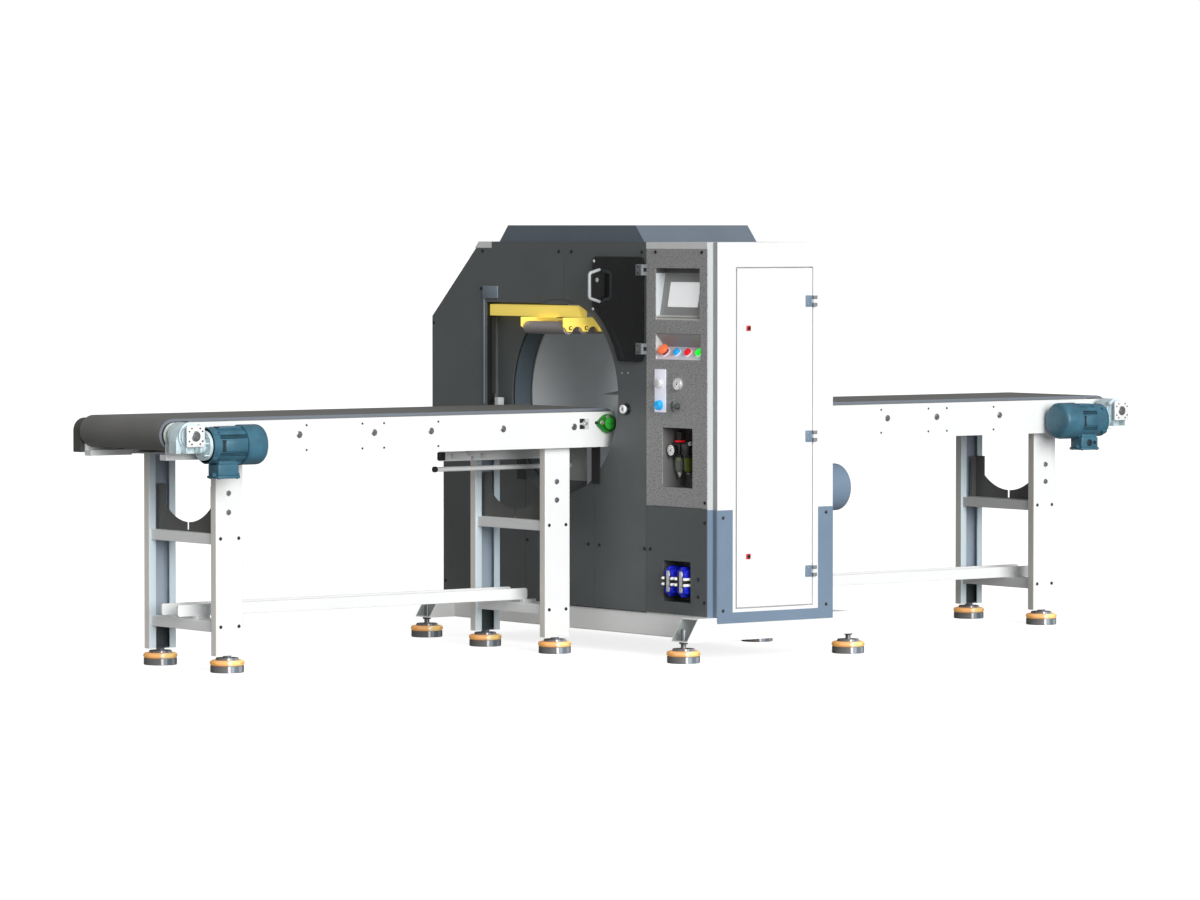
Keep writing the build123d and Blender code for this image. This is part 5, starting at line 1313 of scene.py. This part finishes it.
class WRAPPER_OT_air_regulator(bpy.types.Operator):
    """Pressure regulator and filter with their bowls and dial"""

    bl_idname = "wrapper.air_regulator"
    bl_label = "Air unit"

    def execute(self, context):
        x, near, far = -0.245, -0.609, -0.663
        z0, z1 = 0.741, 0.791
        dial_y, dial_z = near + 0.004, 0.763
        # Two square bodies over round collars, the bridge between them and the carrier behind
        parts = [block((x - 0.022, y - 0.022, z0 + 0.004), (x + 0.022, y + 0.022, z1), 0.006, 3)
                 for y in (near, far)]
        parts += rounds_at([(0.0215, 0), (0.0215, 0.008), (0.0195, 0.010)],
                           [(x, near, z0 + 0.006), (x, far, z0 + 0.006)], DOWN, 28)
        parts.append(block((x - 0.014, far, z0 + 0.018), (x + 0.014, near, z1 - 0.010), 0.003))
        parts.append(block((x + 0.010, far - 0.012, z0 + 0.016),
                           (FACE_X + 0.110, near + 0.012, z1 - 0.014), 0.002))
        # Regulator's ribbed knob
        knob = [(0.0165, 0), (0.0165, 0.006), (0.0125, 0.008), (0.0125, 0.036), (0.0118, 0.040),
                (0.0090, 0.0415)]
        parts.append(round_at(knob, (x, near, z1 - 0.001), UP, 28))
        ridge = block((0.0112, -0.0011, 0.012), (0.0133, 0.0011, 0.036), 0.0006, 1)
        parts += ring_of(ridge, (x, near, z1), range(0, 360, 20), "Z")
        # Filter's cap and side port, and the gauge's case
        cap = [(0.0150, 0), (0.0150, 0.004), (0.0110, 0.008), (0.0060, 0.010)]
        parts.append(round_at(cap, (x, far, z1 - 0.001), UP, 24))
        spool = [(0.0140, 0), (0.0140, 0.004), (0.0090, 0.006), (0.0090, 0.012), (0.0140, 0.014),
                 (0.0140, 0.019)]
        parts.append(round_at(spool, (x, far - 0.021, z0 + 0.026), ASIDE, 20))
        case = [(0.0100, 0), (0.0100, 0.006), (0.0205, 0.007), (0.0215, 0.009), (0.0215, 0.0165),
                (0.0200, 0.0175)]
        parts.append(round_at(case, (x - 0.021, dial_y, dial_z), AHEAD, 36))
        set_down("air_bodies", parts, "black", replaces=("air_unit",))
        dial("air_gauge", (x - 0.0388, dial_y, dial_z), 0.0195)

        ring = [(0.0165, 0), (0.0182, 0.0008), (0.0190, 0.0022), (0.0190, 0.0040), (0.0182, 0.0054),
                (0.0165, 0.0062)]
        set_down("air_ring", [round_at(ring, (x, near, z1 + 0.0015), UP, 36)], "button_red")
        # Bowls, hung below their collars, and what ends them
        bowl = [(0.0185, 0), (0.0180, -0.010), (0.0170, -0.044), (0.0150, -0.052), (0.0100, -0.058),
                (0.0080, -0.060)]
        clear, olive = rounds_at(bowl, [(x, near, z0 - 0.001), (x, far, z0 - 0.001)], UP, 32)
        set_down("air_bowl_clear", [clear], "clear_bowl", angle=50)
        set_down("air_bowl_olive", [olive], "olive", angle=50)
        core = round_at([(0.0110, 0), (0.0120, -0.003), (0.0120, -0.014), (0.0090, -0.018)],
                        (x, near, z0 - 0.001), UP, 24)
        set_down("air_core", [core], "oil")
        long_tip = [(0.0090, 0), (0.0075, -0.006), (0.0040, -0.016), (0.0025, -0.019)]
        short_tip = [(0.0080, 0), (0.0070, -0.003), (0.0050, -0.006)]
        nozzle = [(0.0075, 0), (0.0075, 0.010), (0.0060, 0.0115), (0.0035, 0.0115), (0.0030, 0.008)]
        tips = [round_at(long_tip, (x, near, z0 - 0.058), UP, 20),
                round_at(short_tip, (x, far, z0 - 0.059), UP, 20),
                round_at(nozzle, (x - 0.014, far - 0.028, z1 - 0.006), (-0.5, 0, 1), 20)]
        set_down("air_tips", tips, "screen")
        return {"FINISHED"}


class WRAPPER_OT_blue_couplings(bpy.types.Operator):
    """Lobed blue couplings round flat silver cores"""

    bl_idname = "wrapper.blue_couplings"
    bl_label = "Couplings"

    def execute(self, context):
        x0, x1 = COUPLINGS[0].x, FACE_X + 0.070
        foot = x1 - 0.014
        z = (COUPLINGS[0].z + COUPLINGS[1].z) / 2
        body = [(0.0225, 0), (0.0240, 0.002), (0.0240, 0.062), (0.0225, 0.067), (0.0190, 0.0695),
                (0.0150, 0.0695), (0.0140, 0.064)]
        lobe = [(0.0058, 0), (0.0062, 0.002), (0.0062, 0.060), (0.0050, 0.064), (0.0030, 0.0655)]
        post = [(0.0052, 0), (0.0052, 0.074), (0.0042, 0.0765), (0.0020, 0.0775)]
        columns = (-0.625, -0.701)
        # Two couplings in each column, with six lobes round each
        middles = [(y, z + side * 0.026) for y in columns for side in (-1, 1)]
        rims = [on_circle(y, middle, 0.0235, a) for y, middle in middles for a in range(30, 360, 60)]
        blues = rounds_at(body, [(foot, *middle) for middle in middles], AHEAD, 36)
        blues += rounds_at(lobe, [(foot, *rim) for rim in rims], AHEAD, 16)
        cores = [block((x0 - 0.0015, y - 0.0095, z - 0.040), (x1, y + 0.0095, z + 0.040), 0.005, 3)
                 for y in columns]
        slot_ys = [y + side * 0.0145 for y in columns for side in (-1, 1)]
        slots = [block((x0 - 0.0004, y - 0.0045, z - 0.021), (x1, y + 0.0045, z + 0.021), 0.001)
                 for y in slot_ys]
        spots = [(foot, y + dy, z + dz) for y in columns for dy in (-0.0255, 0.0255)
                 for dz in (-0.011, 0.011)]
        set_down("coupling_lobes", blues, "blue", replaces=("couplings",))
        set_down("coupling_cores", cores, "silver")
        set_down("coupling_slots", slots, "black")
        set_down("coupling_posts", rounds_at(post, spots, AHEAD, 16), "dial")
        return {"FINISHED"}


class WRAPPER_OT_door_fittings(bpy.types.Operator):
    """Screws, lock barrel and hinge leaves of the two doors"""

    bl_idname = "wrapper.door_fittings"
    bl_label = "Door fittings"

    def execute(self, context):
        # Access door
        x, y = ACCESS_X, DOOR_Y
        dome = [(0.0060, 0), (0.0056, 0.0020), (0.0042, 0.0034), (0.0020, 0.0040)]
        screws = rounds_at(dome, [(x, -0.1757, 1.455), (x, -0.1696, 1.2763)], AHEAD, 16)
        barrel = round_at([(0.0085, 0), (0.0085, 0.0012), (0.0074, 0.0022), (0.0030, 0.0022),
                           (0.0026, 0.0005)], (-0.3285, -0.217, 1.385), AHEAD, 24)
        slit = block((-0.3310, -0.2176, 1.3790), (-0.3292, -0.2164, 1.3910), 0.0003, 1)
        set_down("access_screws", screws + [barrel, slit], "silver", ACCESS)

        hinges = (1.133, 1.424)
        offsets = (-0.012, 0.012)
        leaves = [block((x - 0.0046, -0.4660, z - 0.021), (x - 0.0002, -0.4335, z + 0.021), 0.002)
                  for z in hinges]
        dots = rounds_at([(0.0036, 0), (0.0034, 0.0010), (0.0022, 0.0016)],
                         [(x - 0.0046, -0.4480, z + d) for z in hinges for d in offsets], AHEAD, 12)
        set_down("access_leaves", leaves, "hinge", ACCESS)
        set_down("access_dots", dots, "black_bolt", ACCESS)

        # Cabinet door
        leaves = [block((0.140, y - 0.0046, z - 0.021), (0.1695, y - 0.0002, z + 0.021), 0.0015)
                  for z in HINGE_Z]
        rivets = rounds_at([(0.0036, 0), (0.0034, 0.0012), (0.0020, 0.0018)],
                           [(0.152, y - 0.0046, z + d) for z in HINGE_Z for d in offsets], ASIDE, 12)
        set_down("cabinet_leaves", leaves, "blue_grey", CABINET)
        set_down("leaf_screws", rivets, "bolt", CABINET)

        locks = (0.380, 1.213)
        plates = [block((-0.1400, y - 0.0048, z - 0.0100), (-0.1200, y - 0.0002, z + 0.0100), 0.002)
                  for z in locks]
        bits = rounds_at([(0.0066, 0), (0.0066, 0.0020), (0.0058, 0.0030), (0.0040, 0.0030),
                          (0.0036, 0.0008)], [(-0.130, y - 0.0044, z) for z in locks], ASIDE, 20)
        set_down("lock_plates", plates, "lock_red", CABINET)
        set_down("lock_bits", bits, "black", CABINET)
        return {"FINISHED"}


class WRAPPER_OT_small_fixings(bpy.types.Operator):
    """Kick plate's rivets, clamp bars' bolts and ends, press beam with its axle bolts, sheet marks"""

    bl_idname = "wrapper.small_fixings"
    bl_label = "Small fixings"

    def execute(self, context):
        dome = [(0.0062, 0), (0.0058, 0.0018), (0.0042, 0.0030), (0.0018, 0.0035)]
        # Kick plate
        spots = ((-0.2477, 0.5243), (-0.2473, 0.1855), (0.2383, 0.5308), (0.2391, 0.1906))
        rivets = rounds_at(dome, [(x, KICK_Y, z) for x, z in spots], ASIDE, 16)
        set_down("kick_rivets", rivets, "black_bolt")

        # Clamp bars
        spots = ((-0.7795, 0.730), (-0.7061, 0.7411), (-0.6877, 0.7200), (-0.644, 0.730))
        places = [facing((x, 0.080, z), ASIDE, x * 9) for x, z in spots]
        set_down("bar_bolts", copies(hex_head(0.0070, 0.0050, 0.0095), places), "silver")
        end = block((-0.8400, 0.0765, 0.7165), (-0.8120, 0.0915, 0.7465), 0.002)
        cap = round_at([(0.0095, 0), (0.0110, 0.001), (0.0110, 0.012), (0.0095, 0.014)],
                       (-0.866, 0.059, 0.685), AHEAD, 20)
        set_down("bar_ends", [end, cap], "black")

        # Press beam, and the ends of its rollers' axles
        low, high = BEAM
        beam = block((low.x, low.y, 1.2435), (high.x, high.y - 0.0005, 1.2868), 0.0020)
        set_down("beam_body", [beam], "yellow", PRESS, replaces=("press_beam",))
        axle_ends = [((x, y, AXLE_Z), (0, side, 0), x * 20) for x in AXLE_X
                     for side, y in ((-1, -0.073), (1, 0.205))]
        bolts = copies(hex_head(0.0085, 0.0034), [facing(*end) for end in axle_ends])
        cap = turned([(0.0048, 0.002), (0.0048, 0.0040), (0.0040, 0.0048)], 20)
        caps = copies(cap, [facing(place, way) for place, way, _ in axle_ends])
        set_down("axle_bolts", bolts, "black_bolt", PRESS)
        set_down("axle_caps", caps, "yellow", PRESS)

        # Two small marks on the front sheet
        spots = [(FACE_X, -0.3320, 1.041), (FACE_X, -0.3684, 1.042)]
        marks = rounds_at([(0.0034, 0), (0.0030, 0.0008)], spots, AHEAD, 12)
        set_down("sheet_marks", marks, "barrier")
        return {"FINISHED"}


def add_camera(stage):
    heading, pitch = stage.heading, stage.pitch
    view = Vector((math.sin(heading) * math.cos(pitch), math.cos(heading) * math.cos(pitch),
                   -math.sin(pitch)))
    bpy.ops.object.camera_add(location=stage.eye, rotation=view.to_track_quat("-Z", "Y").to_euler())
    camera = bpy.context.object
    camera.name = "Camera"
    camera.data.lens = stage.lens
    camera.data.sensor_width = 36
    camera.data.clip_end = 500
    bpy.context.scene.camera = camera


def add_floor(bounce):
    """Pale floor that shines evenly to the camera and throws a share of the light back."""
    bpy.ops.mesh.primitive_plane_add(size=400, location=(0, 0, 0))
    floor = bpy.context.object
    floor.name = "Floor"
    s = Shader("Floor")
    s.colour(s.blend(s.level(s.noise(0.6, 3), 0.3, 0.7), (0.54, 0.54, 0.54), (0.56, 0.56, 0.56)))
    s.fixed("Roughness", 0.9)
    s.fixed("Specular IOR Level", 0.1)
    s.glow((1, 1, 1), 0.82)
    dull = s.add("ShaderNodeBsdfDiffuse")
    dull.inputs["Color"].default_value = (bounce, bounce, bounce, 1)
    choice = s.add("ShaderNodeMixShader")
    s.feed(s.add("ShaderNodeLightPath").outputs["Is Camera Ray"], choice.inputs[0])
    s.feed(dull.outputs[0], choice.inputs[1])
    s.feed(s.surface.outputs[0], choice.inputs[2])
    s.feed(choice.outputs[0], s.tree.nodes["Material Output"].inputs["Surface"])
    floor.data.materials.append(s.material)


def add_key_light(power):
    bpy.ops.object.light_add(type="SUN", location=(0, -4, 6))
    key = bpy.context.object
    key.name = "Key light"
    key.rotation_euler = Vector((0.15, 0.95, -0.25)).to_track_quat("-Z", "Y").to_euler()
    key.data.energy = power
    key.data.angle = math.radians(40)


def add_surroundings(fill_power):
    """White backdrop for the camera, and a softer white light for everything else."""
    world = bpy.data.worlds.new("Surroundings")
    bpy.context.scene.world = world
    world.use_nodes = True
    tree = world.node_tree
    path = tree.nodes.new("ShaderNodeLightPath")
    mix = tree.nodes.new("ShaderNodeMixShader")
    tree.links.new(path.outputs["Is Camera Ray"], mix.inputs[0])
    backgrounds = ((tree.nodes["Background"], fill_power), (tree.nodes.new("ShaderNodeBackground"), 1.05))
    for slot, (background, strength) in enumerate(backgrounds, 1):
        background.inputs["Color"].default_value = (1, 1, 1, 1)
        background.inputs["Strength"].default_value = strength
        tree.links.new(background.outputs[0], mix.inputs[slot])
    tree.links.new(mix.outputs[0], tree.nodes["World Output"].inputs["Surface"])


class WRAPPER_OT_stage(bpy.types.Operator):
    """Camera, floor and soft light"""

    bl_idname = "wrapper.stage"
    bl_label = "Stage"

    def execute(self, context):
        stage = context.scene.wrapper_stage
        rest_mode()
        add_camera(stage)
        add_floor(stage.bounce)
        add_key_light(stage.key_power)
        add_surroundings(stage.fill_power)
        context.scene.view_settings.view_transform = "Standard"
        return {"FINISHED"}


OPERATORS = (
    WRAPPER_OT_finishes,
    WRAPPER_OT_rail_bolts,
    WRAPPER_OT_leg_bolts,
    WRAPPER_OT_stretchers,
    WRAPPER_OT_panel_bolts,
    WRAPPER_OT_motors,
    WRAPPER_OT_gearbox_fittings,
    WRAPPER_OT_bearing_fittings,
    WRAPPER_OT_light_barrier_rings,
    WRAPPER_OT_guard_post,
    WRAPPER_OT_push_buttons,
    WRAPPER_OT_gauge,
    WRAPPER_OT_air_regulator,
    WRAPPER_OT_blue_couplings,
    WRAPPER_OT_door_fittings,
    WRAPPER_OT_small_fixings,
    WRAPPER_OT_stage,
)


class WRAPPER_PT_builder(bpy.types.Panel):
    """Lists the machine's pieces"""

    bl_label = "Orbital wrapping machine"
    bl_idname = "WRAPPER_PT_builder"
    bl_space_type = "VIEW_3D"
    bl_region_type = "UI"
    bl_category = "Wrapper"

    def draw(self, context):
        column = self.layout.column(align=True)
        for operator in OPERATORS:
            column.operator(operator.bl_idname)
        for group in ("wrapper_paints", "wrapper_sizes", "wrapper_stage"):
            settings = getattr(context.scene, group)
            for key in settings.bl_rna.properties.keys():
                if key not in ("rna_type", "name"):
                    column.prop(settings, key)


CLASSES = (WrapperPaints, WrapperSizes, WrapperStage) + OPERATORS + (WRAPPER_PT_builder,)


def register():
    for cls in CLASSES:
        bpy.utils.register_class(cls)
    bpy.types.Scene.wrapper_paints = bpy.props.PointerProperty(type=WrapperPaints)
    bpy.types.Scene.wrapper_sizes = bpy.props.PointerProperty(type=WrapperSizes)
    bpy.types.Scene.wrapper_stage = bpy.props.PointerProperty(type=WrapperStage)


def unregister():
    del bpy.types.Scene.wrapper_stage
    del bpy.types.Scene.wrapper_sizes
    del bpy.types.Scene.wrapper_paints
    for cls in reversed(CLASSES):
        bpy.utils.unregister_class(cls)


def main():
    register()
    bpy.ops.wrapper.finishes()
    bpy.ops.wrapper.rail_bolts()
    bpy.ops.wrapper.leg_bolts()
    bpy.ops.wrapper.stretchers()
    bpy.ops.wrapper.panel_bolts()
    bpy.ops.wrapper.motors()
    bpy.ops.wrapper.gearbox_fittings()
    bpy.ops.wrapper.bearing_fittings()
    bpy.ops.wrapper.light_barrier_rings()
    bpy.ops.wrapper.guard_post()
    bpy.ops.wrapper.push_buttons()
    bpy.ops.wrapper.gauge()
    bpy.ops.wrapper.air_regulator()
    bpy.ops.wrapper.blue_couplings()
    bpy.ops.wrapper.door_fittings()
    bpy.ops.wrapper.small_fixings()
    bpy.ops.wrapper.stage()


if __name__ == "__main__":
    main()
